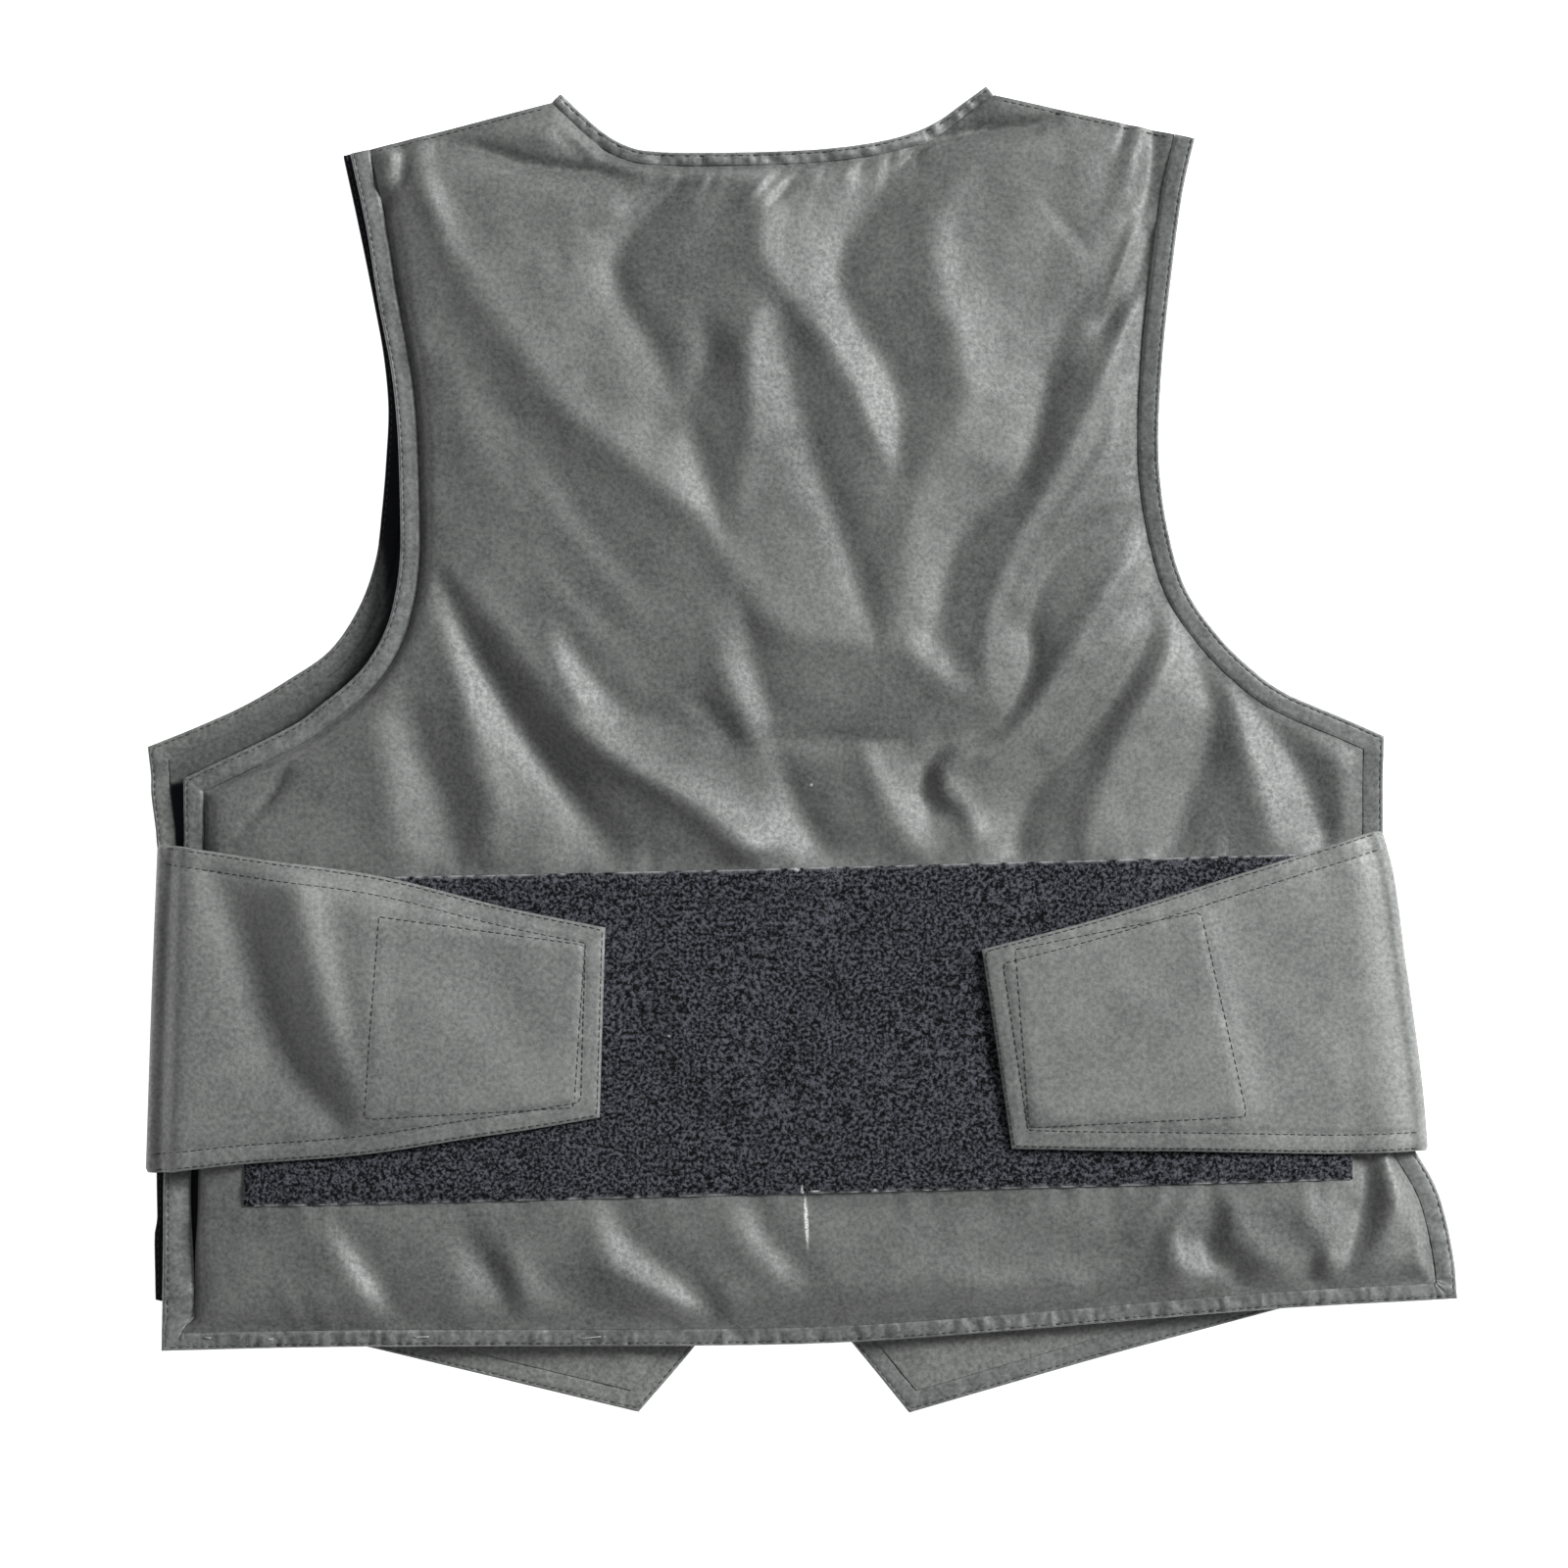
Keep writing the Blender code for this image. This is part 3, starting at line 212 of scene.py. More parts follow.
# Small creases and puffs that run right to the edges: name, width, and points of x, y and height.
SMALL_CREASES = [
    ("shoulder_left", 3.0, [(-167, 278, -1.0), (-152, 277, -2.2), (-140, 273.5, -2.8), (-127, 269, -3.4),
        (-107, 266.5, -3.8), (-92, 265.0, -2.6), (-82, 262.5, -1.0)]),
    ("shoulder_right", 2.2, [(44, 268, -1.6), (54, 277, -3.0), (66, 282, -3.6), (81, 284.5, -4.0),
        (93, 285.2, -4.0), (104, 286.5, -3.4), (116, 290.5, -1.6)]),
    ("shoulder_right_second", 1.8, [(84, 279.5, -1.0), (96, 279.5, -2.0), (108, 284, -1.2)]),
    ("yoke_right", 9.0, [(62, 303, 2.6), (85, 300, 3.0), (106, 297, 1.8), (118, 294, 0.3)]),
    ("left_tip_puff", 6.0, [(-190, 272, 4.4), (-192, 261, 3.8)]),
    ("left_tip_fold", 6.5, [(-179, 284, 0.8), (-176, 272, 3.2), (-172, 256, 3.8), (-166, 242, 3.0),
        (-160, 226, 1.2)]),
    ("left_tip_under", 4.0, [(-182, 274, -1.2), (-183, 262, -1.8), (-190, 250, -2.0), (-199, 246, -1.2)]),
    ("right_tip_pocket", 2.6, [(149, 286, -2.0), (146, 278, -2.2), (144, 273, -0.8)]),
    ("right_tip_fold", 6.0, [(154, 282, 1.8), (150, 270, 2.4), (147, 256, 2.0), (140, 242, 0.8)]),
    ("right_tip_valley", 4.5, [(160, 283, -2.4), (159, 268, -2.6), (157, 254, -1.8), (154, 244, -1.0)]),
    ("right_edge_rim", 6.0, [(171, 284, 0.9), (170, 262, 1.0), (167, 244, 0.9), (164, 220, 0.7)]),
    ("right_edge_valley", 4.0, [(158, 236, -1.6), (151, 212, -1.8), (141, 198, -1.4)]),
    ("right_edge_streak", 2.2, [(152, 243, 0.6), (145, 222, 1.2), (137, 202, 1.0)]),
    ("right_dark_streak", 3.4, [(112, 249, -0.4), (121, 240, -0.8), (130, 229, -0.4)]),
    ("neck_peak_puff", 3.0, [(-113, 289, 0.8), (-104, 281, 1.4), (-96, 273, 1.0)]),
    ("neck_gather_1", 2.2, [(-58, 264, 0.8), (-66, 256, 1.0), (-74, 249, 0.5)]),
    ("neck_gather_2", 1.8, [(-42, 265, 1.2), (-46, 260, 1.0), (-50, 254, 0.3)]),
    ("neck_gather_3", 2.4, [(-16, 265, 1.6), (-22, 257, 2.0), (-27, 250, 1.2), (-31, 245, 0.3)]),
    ("neck_gather_4", 1.6, [(-9, 262, 0.7), (-12, 257, 1.0), (-15, 253, 0.4)]),
    ("neck_gather_5", 2.2, [(4, 266, 1.4), (1, 260, 1.3), (-5, 254, 0.5)]),
    ("neck_gather_6", 1.6, [(13, 267, 0.6), (10, 262, 0.9), (7, 258, 0.3)]),
    ("neck_gather_7", 1.8, [(22, 267, 1.0), (19, 263, 0.7)]),
    ("neck_gather_8", 1.6, [(32, 269, 0.7), (29, 266, 0.5)]),
    ("neck_gather_pit_1", 1.8, [(-10, 266, -1.6), (-15, 260, -1.2)]),
    ("neck_gather_pit_2", 1.8, [(-1, 265, -1.4), (-8, 257, -1.6), (-14, 250, -0.6)]),
    ("tip_curl_low", 3.0, [(-236, -6, -1.0), (-238, -12, -1.8), (-245, -23, -2.2), (-256, -34, -1.4)]),
    ("tip_corner", 2.5, [(-270, -17, -0.8), (-257, -10, -1.4), (-245, -7, -1.0)]),
    ("hem_corner_a", 3.0, [(-238, -241, 0.4), (-233, -255, 1.0), (-230, -262, 0.8)]),
    ("hem_corner_b", 3.0, [(-222, -250, 0.3), (-216, -262, 0.8)]),
]
# Creases of the loop panel, which is sewn flat and only bends a little.
LOOP_CREASES = [
    ("right_arm_valley", 6, [(26, -59, -1.2), (16, -90, -1.8), (-6, -122, -2.0), (-19, -153, -1.2)]),
    ("right_arm_ridge", 7, [(42, -59, 0.8), (33, -92, 1.2), (8, -128, 1.4), (-6, -158, 0.8)]),
    ("left_arm_valley", 6, [(-80, -95, -0.6), (-66, -149, -1.4), (-40, -171, -1.4), (-20, -189, -1.0)]),
    ("left_arm_ridge", 7, [(-66, -92, 0.8), (-50, -140, 1.2), (-24, -163, 1.2), (-4, -178, 0.8)]),
]

# Lining, loop pile, wings and hook patches.
LINING_GAP = 0.35
LINING_THICKNESS = 0.9
LOOP_THICKNESS = 1.5
LOOP_LIFT = 0.35
PILE_HEIGHT = 0.45
WING_THICKNESS = 2.4
WING_LIFT = 0.45
WING_STEP = 1.8
WING_HEM = 8.6
WING_EDGE_STITCH = 1.3
WING_ROOT_Z = 2.3
WING_TURN_STEPS = 14
WING_TURN_RADIUS = 4.15
WING_TURN_TOP = {"wing_left": 13.0, "wing_right": 14.0}
WING_FOLD_OUT = {"wing_left": 2.0, "wing_right": 0.6}
# The cloth rises behind the turn: to which height, and how far in from the fold.
WING_SHELF = {"wing_left": (21.5, 4.5), "wing_right": (19.0, 10.0)}
# How far the middle of a wing's lower edge lies up from a straight run of its corners: x, reach and height.
WING_LOWER_EDGE = {"wing_left": (-165.0, 50.0, 2.0), "wing_right": (165.0, 62.0, 5.4)}
# Creases of each wing, in the form of the back panel's.
WING_CREASES = {
    "wing_left": [
        ("valley", 4, [(-270, -54, -2.4), (-257, -88, -2.2), (-246, -120, -2.2), (-232, -147, -1.8),
            (-214, -166, -0.8)]),
        ("ridge", 4, [(-233, -50, 13.5), (-229, -64, 15.0), (-222, -92, 15.2), (-214, -120, 14.2),
            (-207, -144, 10.0), (-200, -162, 4.6), (-194, -172, 1.5)]),
        ("fold", 6, [(-284, -50, 0.4), (-287, -120, 0.4), (-290, -186, 0.4)]),
        ("patch_ridge", 6, [(-204, -78, 10.4), (-200, -120, 10.0), (-193, -156, 4.0)]),
        ("patch_fall", 8, [(-182, -80, 5.6), (-182, -120, 6.0), (-180, -160, 2.8)]),
        ("patch_dent", 5, [(-134, -104, -0.2), (-120, -136, -0.6)]),
        ("patch_end", 8, [(-106, -92, -0.4), (-108, -160, -0.4)]),
    ],
    "wing_right": [
        ("valley", 10, [(206, -70, 0.0), (204, -120, 0.0), (202, -172, 0.0)]),
        ("flat", 8, [(236, -66, 0.8), (244, -121, 0.8), (250, -174, 0.6)]),
        ("fold", 8, [(260, -60, 0.3), (269, -120, 0.3), (275, -176, 0.3)]),
        ("patch_dent_1", 4, [(146, -92, -0.5), (166, -108, -0.8)]),
        ("patch_dent_2", 4, [(150, -116, 0.5), (176, -130, 0.8)]),
    ],
}
# Corners of the box of stitches over each hook patch.
BOX_STITCHES = {
    "wing_left": [(-192, -75), (-99, -88), (-104, -162), (-199, -167)],
    "wing_right": [(96.5, -90), (103, -171), (202, -166), (181, -73)],
}

STITCH_PITCH = 3.5
STITCH_LENGTH = 2.7
STITCH_RADIUS = 0.26
STITCH_WANDER = 0.09

# Tailor's marks: x, y, length along, width, and turn in degrees from +X.
CLOTH_MARKS = [(1.6, -214.0, 14.0, 1.1, -87.0), (4.0, -15.2, 0.9, 0.8, 0.0)]
LOOP_MARKS = [(-2.7, -53.4, 1.5, 1.5, 0.0), (-60.9, -129.5, 0.8, 0.7, 0.0), (-0.4, -199.4, 2.4, 0.6, 88.0),
              (-0.3, -200.8, 1.1, 1.0, 0.0), (5.7, -200.4, 2.6, 0.5, 4.0), (33.0, -199.8, 0.8, 0.7, 0.0)]
# White basting threads left in the hem strip: the ends of each one.
BASTING = [((-179.3, -267.6), (-169.6, -267.4)), ((-105.3, -268.8), (-88.3, -267.0)),
           ((-142.9, -272.2), (-134.4, -271.8)), ((-95.4, -272.6), (-91.8, -272.8)),
           ((-275.0, -268.2), (-270.5, -268.6)), ((-245.6, -268.9), (-241.8, -268.6))]

# The camera looks straight down at the picture's middle. The picture is so wide at the vest's mid height.
PICTURE_MIDDLE = (-8.6, -14.8)
PICTURE_WIDTH = 716.8
MID_HEIGHT = 15.0
CAMERA_HEIGHT = 2400.0
SENSOR = 36.0
# The floor's size and height, in metres.
FLOOR_SIZE = 30.0
FLOOR_Z = -0.0003

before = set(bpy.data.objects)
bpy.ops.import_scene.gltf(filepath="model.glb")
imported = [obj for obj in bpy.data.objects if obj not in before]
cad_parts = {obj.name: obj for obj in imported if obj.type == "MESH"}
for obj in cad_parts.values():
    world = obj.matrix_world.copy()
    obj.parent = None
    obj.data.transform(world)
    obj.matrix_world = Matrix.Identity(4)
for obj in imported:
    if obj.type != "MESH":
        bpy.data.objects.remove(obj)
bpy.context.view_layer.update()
bpy.ops.object.select_all(action="DESELECT")


def bell(distance, reach):
    """1 on a line, falling to 0 a few reaches away from it, round at the top."""
    return np.exp(-(distance / reach) ** 2)


def rise(distance, reach):
    """0 at an edge, going up to 1 a few reaches away from it, round at the top."""
    return 1.0 - bell(distance, reach)


def soft_step(distance, width):
    """From 0 to 1 where a distance passes zero, over so wide a band."""
    return 0.5 + 0.5 * np.tanh(2.0 * distance / width)


def quarter_round(distance, radius):
    """The height of a rounded edge: 0 at its foot and 1 from one radius in."""
    return np.sqrt(1.0 - np.clip(1.0 - distance / radius, 0.0, 1.0) ** 2)


def closed(line):
    """A line that ends at its first point."""
    return np.vstack([line, line[:1]])


def smooth_curve(path, parts):
    """A smooth line through the path's points, with so many parts between each two.

    A point where the path turns sharply stays a corner.
    """
    path = np.asarray(path, dtype=float)
    run = np.diff(path[:, :2], axis=0)
    heading = np.arctan2(run[:, 1], run[:, 0])
    turn = np.abs((np.diff(heading) + math.pi) % (2 * math.pi) - math.pi)
    corner = np.concatenate([[True], turn > SHARP_TURN, [True]])
    t = (np.arange(parts) / parts)[:, None]
    fine = []
    for k in range(len(path) - 1):
        start, end = path[k], path[k + 1]
        before = 2 * start - end if corner[k] else path[k - 1]
        after = 2 * end - start if corner[k + 1] else path[k + 2]
        squared = (2 * before - 5 * start + 4 * end - after) * t ** 2
        cubed = (3 * start - before - 3 * end + after) * t ** 3
        fine.append(0.5 * (2 * start + (end - before) * t + squared + cubed))
    return np.vstack([*fine, path[-1:]])


def way_along(line):
    """How far each point of a line lies from its start, in plan."""
    return np.concatenate([[0.0], np.cumsum(np.linalg.norm(np.diff(line[:, :2], axis=0), axis=1))])


def resample(path, step):
    """Points spaced evenly along a line, about a step apart."""
    along = way_along(path)
    wanted = np.linspace(0.0, along[-1], max(2, round(along[-1] / step) + 1))
    return np.stack([np.interp(wanted, along, column) for column in path.T], axis=1)


def nearest_on_line(points, line):
    """Distance in plan of each point from a line, the way along it, and the line's last value there."""
    places = points[..., :2]
    nearest = np.full(places.shape[:-1], np.inf)
    along = np.zeros_like(nearest)
    value = np.zeros_like(nearest)
    passed = 0.0
    for start, end in zip(line, line[1:]):
        run = end[:2] - start[:2]
        length = math.hypot(*run) + 1e-9
        part = np.clip(((places - start[:2]) @ run) / length ** 2, 0.0, 1.0)
        distance = np.linalg.norm(places - start[:2] - part[..., None] * run, axis=-1)
        closer = distance < nearest
        nearest = np.where(closer, distance, nearest)
        along = np.where(closer, passed + part * length, along)
        value = np.where(closer, start[-1] + (end[-1] - start[-1]) * part, value)
        passed += length
    return nearest, along, value


def crease_height(points, creases):
    """Height of the cloth at each point, from the ridges and valleys around it."""
    total = np.zeros(points.shape[:-1])
    weights = np.full(points.shape[:-1], CREASE_REACH ** -CREASE_POWER)
    for _, roundness, line in creases:
        distance, _, height = nearest_on_line(points, smooth_curve(line, 6))
        weight = (distance ** 2 + roundness ** 2) ** (-CREASE_POWER / 2)
        total += weight * height
        weights += weight
    return total / weights


def small_crease_height(points, creases):
    """Height of the narrow creases and puffs, each with a round section."""
    total = np.zeros(points.shape[:-1])
    for _, width, line in creases:
        distance, _, height = nearest_on_line(points, smooth_curve(line, 5))
        total += height * bell(distance, width)
    return total


def lattice_noise(x, y, size, seed):
    """Smooth random heights from -1 to 1, with bumps about one size across."""
    cells = 256
    values = np.random.default_rng(seed).uniform(-1.0, 1.0, (cells, cells))
    u, v = np.asarray(x) / size, np.asarray(y) / size
    i, j = np.floor(u).astype(int), np.floor(v).astype(int)
    s, t = u - i, v - j
    s, t = s * s * (3 - 2 * s), t * t * (3 - 2 * t)
    low = values[i % cells, j % cells] * (1 - s) + values[(i + 1) % cells, j % cells] * s
    high = values[i % cells, (j + 1) % cells] * (1 - s) + values[(i + 1) % cells, (j + 1) % cells] * s
    return low * (1 - t) + high * t


def line_noise(along, seed, *waves):
    """Random heights along a line: waves of so much height and length, each with the next seed."""
    return sum(height * lattice_noise(along, 0 * along, length, seed + number)
               for number, (height, length) in enumerate(waves))


def fill_patch(bottom, right, top, left):
    """A grid of points between four sides: rows from bottom to top."""
    u = np.linspace(0.0, 1.0, len(bottom))[None, :, None]
    v = np.linspace(0.0, 1.0, len(left))[:, None, None]
    rows = (1 - v) * bottom[None] + v * top[None]
    columns = (1 - u) * left[:, None] + u * right[:, None]
    corners = ((1 - u) * (1 - v) * bottom[0] + u * (1 - v) * bottom[-1]
               + (1 - u) * v * top[0] + u * v * top[-1])
    return rows + columns - corners


def offset_line(line, widths):
    """A line moved to its right by each stretch's width, with mitred corners."""
    widths = np.broadcast_to(widths, len(line) - 1)
    run = np.diff(line[:, :2], axis=0)
    run /= np.linalg.norm(run, axis=1)[:, None] + 1e-9
    normals = np.stack([run[:, 1], -run[:, 0]], axis=1)
    moved = line.copy()
    for k in range(len(line)):
        before, after = max(k - 1, 0), min(k, len(normals) - 1)
        a, b = normals[before], normals[after]
        if abs(a @ b) > 0.985:
            direction = (a + b) / 2
            moved[k, :2] += direction * (widths[before] + widths[after]) / 2 / (direction @ direction)
        else:
            moved[k, :2] += np.linalg.solve(np.array([a, b]), [widths[before], widths[after]])
    return moved


def upper_rim(node_name):
    """The outline of a solid's upper side, going round from the start with the solid on its left."""
    bm = bmesh.new()
    bm.from_mesh(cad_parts[node_name].data)
    bmesh.ops.remove_doubles(bm, verts=bm.verts, dist=0.01 * MM)
    bm.normal_update()
    upper = {face for face in bm.faces if face.normal.z > 0.5}
    following = {}
    for face in upper:
        for loop in face.loops:
            if not any(other in upper for other in loop.edge.link_faces if other is not face):
                following[loop.vert] = loop.link_loop_next.vert
    longest = []
    while following:
        vert, after = following.popitem()
        ring = [vert.co / MM]
        while after in following:
            ring.append(after.co / MM)
            after = following.pop(after)
        if len(ring) > len(longest):
            longest = ring
    bm.free()
    ring = np.array(longest)
    start = int(np.argmin(np.linalg.norm(ring[:, :2] - RIM_START, axis=1)))
    return np.roll(ring, -start, axis=0)


def even_out(side, count):
    """The side with at least so many points: each new one is in the middle of the longest stretch."""
    while len(side) < count:
        longest = int(np.argmax(np.linalg.norm(np.diff(side, axis=0), axis=1)))
        side = np.insert(side, longest + 1, (side[longest] + side[longest + 1]) / 2, axis=0)
    return side


def four_sides(rim, corners):
    """A rim cut at four corners into its bottom, right, top and left sides."""
    marks = [int(np.argmax(rim[:, 0] * a + rim[:, 1] * b)) for a, b in corners]
    cuts = [(mark - marks[0]) % len(rim) for mark in marks] + [len(rim)]
    ring = closed(np.roll(rim, -marks[0], axis=0))
    bottom, right, top, left = [ring[a:b + 1] for a, b in zip(cuts, cuts[1:])]
    return (even_out(bottom, len(top)), even_out(right, len(left)), even_out(top[::-1], len(bottom)),
            even_out(left[::-1], len(right)))


def fine_sides(rim, corners, parts):
    """The four sides of a rim as smooth lines."""
    return [smooth_curve(side, parts) for side in four_sides(rim, corners)]


class Ground:
    """Surfaces that cloth lies on, for finding their height at a place."""

    def __init__(self, *grids):
        self.trees = []
        for grid in grids:
            self.add_grid(grid)

    def add_grid(self, surface):
        """A surface given as rows of points."""
        rows, columns = surface.shape[:2]
        index = np.arange(rows * columns).reshape(rows, columns)
        faces = np.stack([index[:-1, :-1], index[:-1, 1:], index[1:, 1:], index[1:, :-1]], axis=-1)
        corners = surface.reshape(-1, 3).tolist()
        self.trees.append(BVHTree.FromPolygons(corners, faces.reshape(-1, 4).tolist()))

    def add_mesh(self, mesh):
        """The surface of a mesh in metres."""
        corners = [vert.co / MM for vert in mesh.vertices]
        self.trees.append(BVHTree.FromPolygons(corners, [tuple(face.vertices) for face in mesh.polygons]))

    def height(self, plan, downwards=True, missing=0.0):
        """The height of the highest surface, or of the lowest one seen from below."""
        direction = -1.0 if downwards else 1.0
        found = np.full(plan.shape[:-1], np.nan)
        for place in np.ndindex(found.shape):
            x, y = plan[place][:2]
            for tree in self.trees:
                hit = tree.ray_cast((x, y, -500.0 * direction), (0.0, 0.0, direction))[0]
                if hit is not None and not (hit.z * direction >= found[place] * direction):
                    found[place] = hit.z
        return np.where(np.isnan(found), missing, found)


def drape(ground_height, lift, passes):
    """Cloth laid on a ground: it spans the dips and is nowhere lower than the ground plus the lift."""
    floor = ground_height + lift
    height = floor.copy()
    for _ in range(passes):
        padded = np.pad(height, 1, mode="edge")
        average = (padded[:-2, 1:-1] + padded[2:, 1:-1] + padded[1:-1, :-2] + padded[1:-1, 2:]) / 4
        height = np.maximum(average, floor)
    return height


def relax(height, passes):
    """Heights evened out with their neighbours in place, with the rim left alone."""
    for _ in range(passes):
        inner = (height[:-2, 1:-1] + height[2:, 1:-1] + height[1:-1, :-2] + height[1:-1, 2:]) / 4
        height[1:-1, 1:-1] = (height[1:-1, 1:-1] + inner) / 2
    return height


def widen(coarse, shape, step):
    """A coarse grid of heights spread evenly over the finer grid that it came from."""
    rows = np.arange(shape[0]) / step
    columns = np.arange(shape[1]) / step
    wide = np.stack([np.interp(columns, np.arange(coarse.shape[1]), row) for row in coarse])
    return np.stack([np.interp(rows, np.arange(coarse.shape[0]), column) for column in wide.T], axis=1)


def add_object(name, mesh, material):
    """An object on body root, with a smooth mesh of one material."""
    mesh.materials.append(material)
    mesh.shade_smooth()
    obj = bpy.data.objects.new(name, mesh)
    bpy.context.scene.collection.objects.link(obj)
    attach(obj, "root")
    return obj


def finish_object(name, bm, material):
    """An object on body root, from a mesh made in millimetres."""
    bmesh.ops.scale(bm, vec=(MM, MM, MM), verts=bm.verts)
    mesh = bpy.data.meshes.new(name)
    bm.to_mesh(mesh)
    bm.free()
    return add_object(name, mesh, material)


def grid_rim(columns, rows):
    """The places on the rim of a grid, going round it."""
    return ([(i, 0) for i in range(columns)] + [(columns - 1, j) for j in range(1, rows)]
            + [(i, rows - 1) for i in range(columns - 2, -1, -1)] + [(0, j) for j in range(rows - 2, 0, -1)])


def add_panel(name, upper, lower, step, material):
    """A closed piece: a fine upper grid, walls round its rim, and a coarser underside."""
    bm = bmesh.new()
    rows, columns = upper.shape[:2]
    top = [[bm.verts.new(point) for point in row] for row in upper]
    for row, after in zip(top, top[1:]):
        for i in range(columns - 1):
            bm.faces.new((row[i], row[i + 1], after[i + 1], after[i]))
    rim = grid_rim(columns, rows)
    on_rim = set(rim)
    under = {}
    for j in range(rows):
        for i in range(columns):
            if (i, j) in on_rim or (i % step == 0 and j % step == 0):
                under[i, j] = bm.verts.new(lower[j, i])
    for (i, j), (i2, j2) in zip(rim, rim[1:] + rim[:1]):
        bm.faces.new((top[j2][i2], top[j][i], under[i, j], under[i2, j2]))
        bm.edges.get((top[j2][i2], top[j][i])).smooth = False
    for j in range(0, rows - 1, step):
        for i in range(0, columns - 1, step):
            i2, j2 = i + step, j + step
            cell = ([(i, k) for k in range(j, j2)] + [(k, j2) for k in range(i, i2)]
                    + [(i2, k) for k in range(j2, j, -1)] + [(k, j) for k in range(i2, i, -1)])
            bm.faces.new([under[place] for place in cell if place in under])
    return finish_object(name, bm, material)


def paint(obj, name, part_at):
    """An attribute that the piece's material reads: how much of something is at each of its points."""
    places = np.array([vert.co for vert in obj.data.vertices]) / MM
    obj.data.attributes.new(name, "FLOAT", "POINT").data.foreach_set("value", part_at(places))


def colour(code):
    """Linear values of an sRGB hex colour."""
    parts = [int(code[k:k + 2], 16) / 255 for k in (1, 3, 5)]
    linear = [part / 12.92 if part <= 0.04045 else ((part + 0.055) / 1.055) ** 2.4 for part in parts]
    return (*linear, 1.0)


def node(tree, kind, values=None, links=None, **settings):
    """One shader node, with its settings, input values and incoming links."""
    made = tree.nodes.new("ShaderNode" + kind)
    for name, value in settings.items():
        setattr(made, name, value)
    for name, value in (values or {}).items():
        made.inputs[name].default_value = value
    for name, socket in (links or {}).items():
        tree.links.new(socket, made.inputs[name])
    return made


def new_material(name, **constants):
    """A material with its shader, its tree and its place in millimetres."""
    material = bpy.data.materials.new(name)
    material.use_nodes = True
    tree = material.node_tree
    shader = tree.nodes["Principled BSDF"]
    for socket, value in constants.items():
        shader.inputs[socket.replace("_", " ")].default_value = value
    place = node(tree, "TexCoord").outputs["Object"]
    millimetres = node(tree, "VectorMath", {1: (1 / MM,) * 3}, {0: place}, operation="MULTIPLY").outputs[0]
    return material, tree, shader, millimetres


def cover(tree, shader, base, relief=None, strength=0.0, depth=0.0):
    """The shader's colour, and a bump of so much strength and depth from a relief."""
    tree.links.new(base, shader.inputs["Base Color"])
    if relief is not None:
        bump = node(tree, "Bump", {"Strength": strength, "Distance": depth * MM}, {"Height": relief})
        tree.links.new(bump.outputs[0], shader.inputs["Normal"])


def noise(tree, place, scale, detail=2.0, roughness=0.5):
    """Noise of so many bumps to the millimetre."""
    return node(tree, "TexNoise", {"Scale": scale, "Detail": detail, "Roughness": roughness},
                {"Vector": place}).outputs["Fac"]


def spread(tree, value, low, high, to_low=0.0, to_high=1.0):
    """A value's range from low to high, spread over another range."""
    limits = {"From Min": low, "From Max": high, "To Min": to_low, "To Max": to_high}
    return node(tree, "MapRange", limits, {"Value": value}).outputs["Result"]


def reckon(tree, operation, *parts):
    """One step of arithmetic on sockets and numbers."""
    values = {slot: part for slot, part in enumerate(parts) if isinstance(part, float)}
    links = {slot: part for slot, part in enumerate(parts) if not isinstance(part, float)}
    return node(tree, "Math", values, links, operation=operation).outputs[0]


def mix(tree, part, first, second):
    """A colour between two, each a hex colour or a socket."""
    values, links = {}, {"Factor": part}
    for slot, item in ((6, first), (7, second)):
        if isinstance(item, str):
            values[slot] = colour(item)
        else:
            links[slot] = item
    return node(tree, "Mix", values, links, data_type="RGBA").outputs[2]


def mark_mask(tree, place, marks):
    """1 inside the tailor's marks, worn through by the grain of the cloth."""
    inside = []
    for x, y, length, width, turn in marks:
        local = node(tree, "Mapping", {"Location": (x, y, 0.0), "Rotation": (0.0, 0.0, math.radians(turn)),
                                       "Scale": (length, width, 1000.0)}, {"Vector": place},
                     vector_type="TEXTURE").outputs[0]
        size = node(tree, "VectorMath", None, {0: local}, operation="LENGTH").outputs["Value"]
        inside.append(spread(tree, size, 1.0, 0.55))
    mask = inside[0]
    for other in inside[1:]:
        mask = reckon(tree, "MAXIMUM", mask, other)
    worn = spread(tree, noise(tree, place, 1.6, 3.0), 0.36, 0.5)
    return reckon(tree, "MULTIPLY", mask, worn)


def satin_cloth(name, light, dark, marks=()):
    """Grey polyurethane-coated polyester satin: a soft broad gloss that breaks up into a fine grain."""
    material, tree, shader, place = new_material(name, Specular_IOR_Level=0.75, IOR=1.5, Sheen_Weight=0.15,
                                                 Sheen_Roughness=0.5)
    # The real weave has about 30 threads to the centimetre, too fine to show: its grain is drawn at 1.3 mm.
    grain = noise(tree, place, 0.5, 2.0, 0.65)
    cloudy = noise(tree, place, 0.02, 3.0, 0.55)
    tone = reckon(tree, "MULTIPLY", spread(tree, grain, 0.3, 0.7), 0.7)
    tone = reckon(tree, "MULTIPLY_ADD", spread(tree, cloudy, 0.35, 0.65), 0.3, tone)
    base = mix(tree, tone, dark, light)
    if marks:
        base = mix(tree, mark_mask(tree, place, marks), base, "#e4e6e2")
    tree.links.new(spread(tree, grain, 0.3, 0.7, 0.62, 0.5), shader.inputs["Roughness"])
    cover(tree, shader, base, grain, 0.6, 0.25)
    return material


def lining_cloth(name):
    """Navy-black nylon taffeta: dull, smooth and nearly black."""
    material, tree, shader, place = new_material(name, Specular_IOR_Level=0.35, Sheen_Weight=0.1,
                                                 Roughness=0.62)
    speckle = noise(tree, place, 0.8, 3.0)
    cover(tree, shader, mix(tree, spread(tree, speckle, 0.3, 0.7), "#080a14", "#121521"), speckle, 0.25, 0.2)
    return material


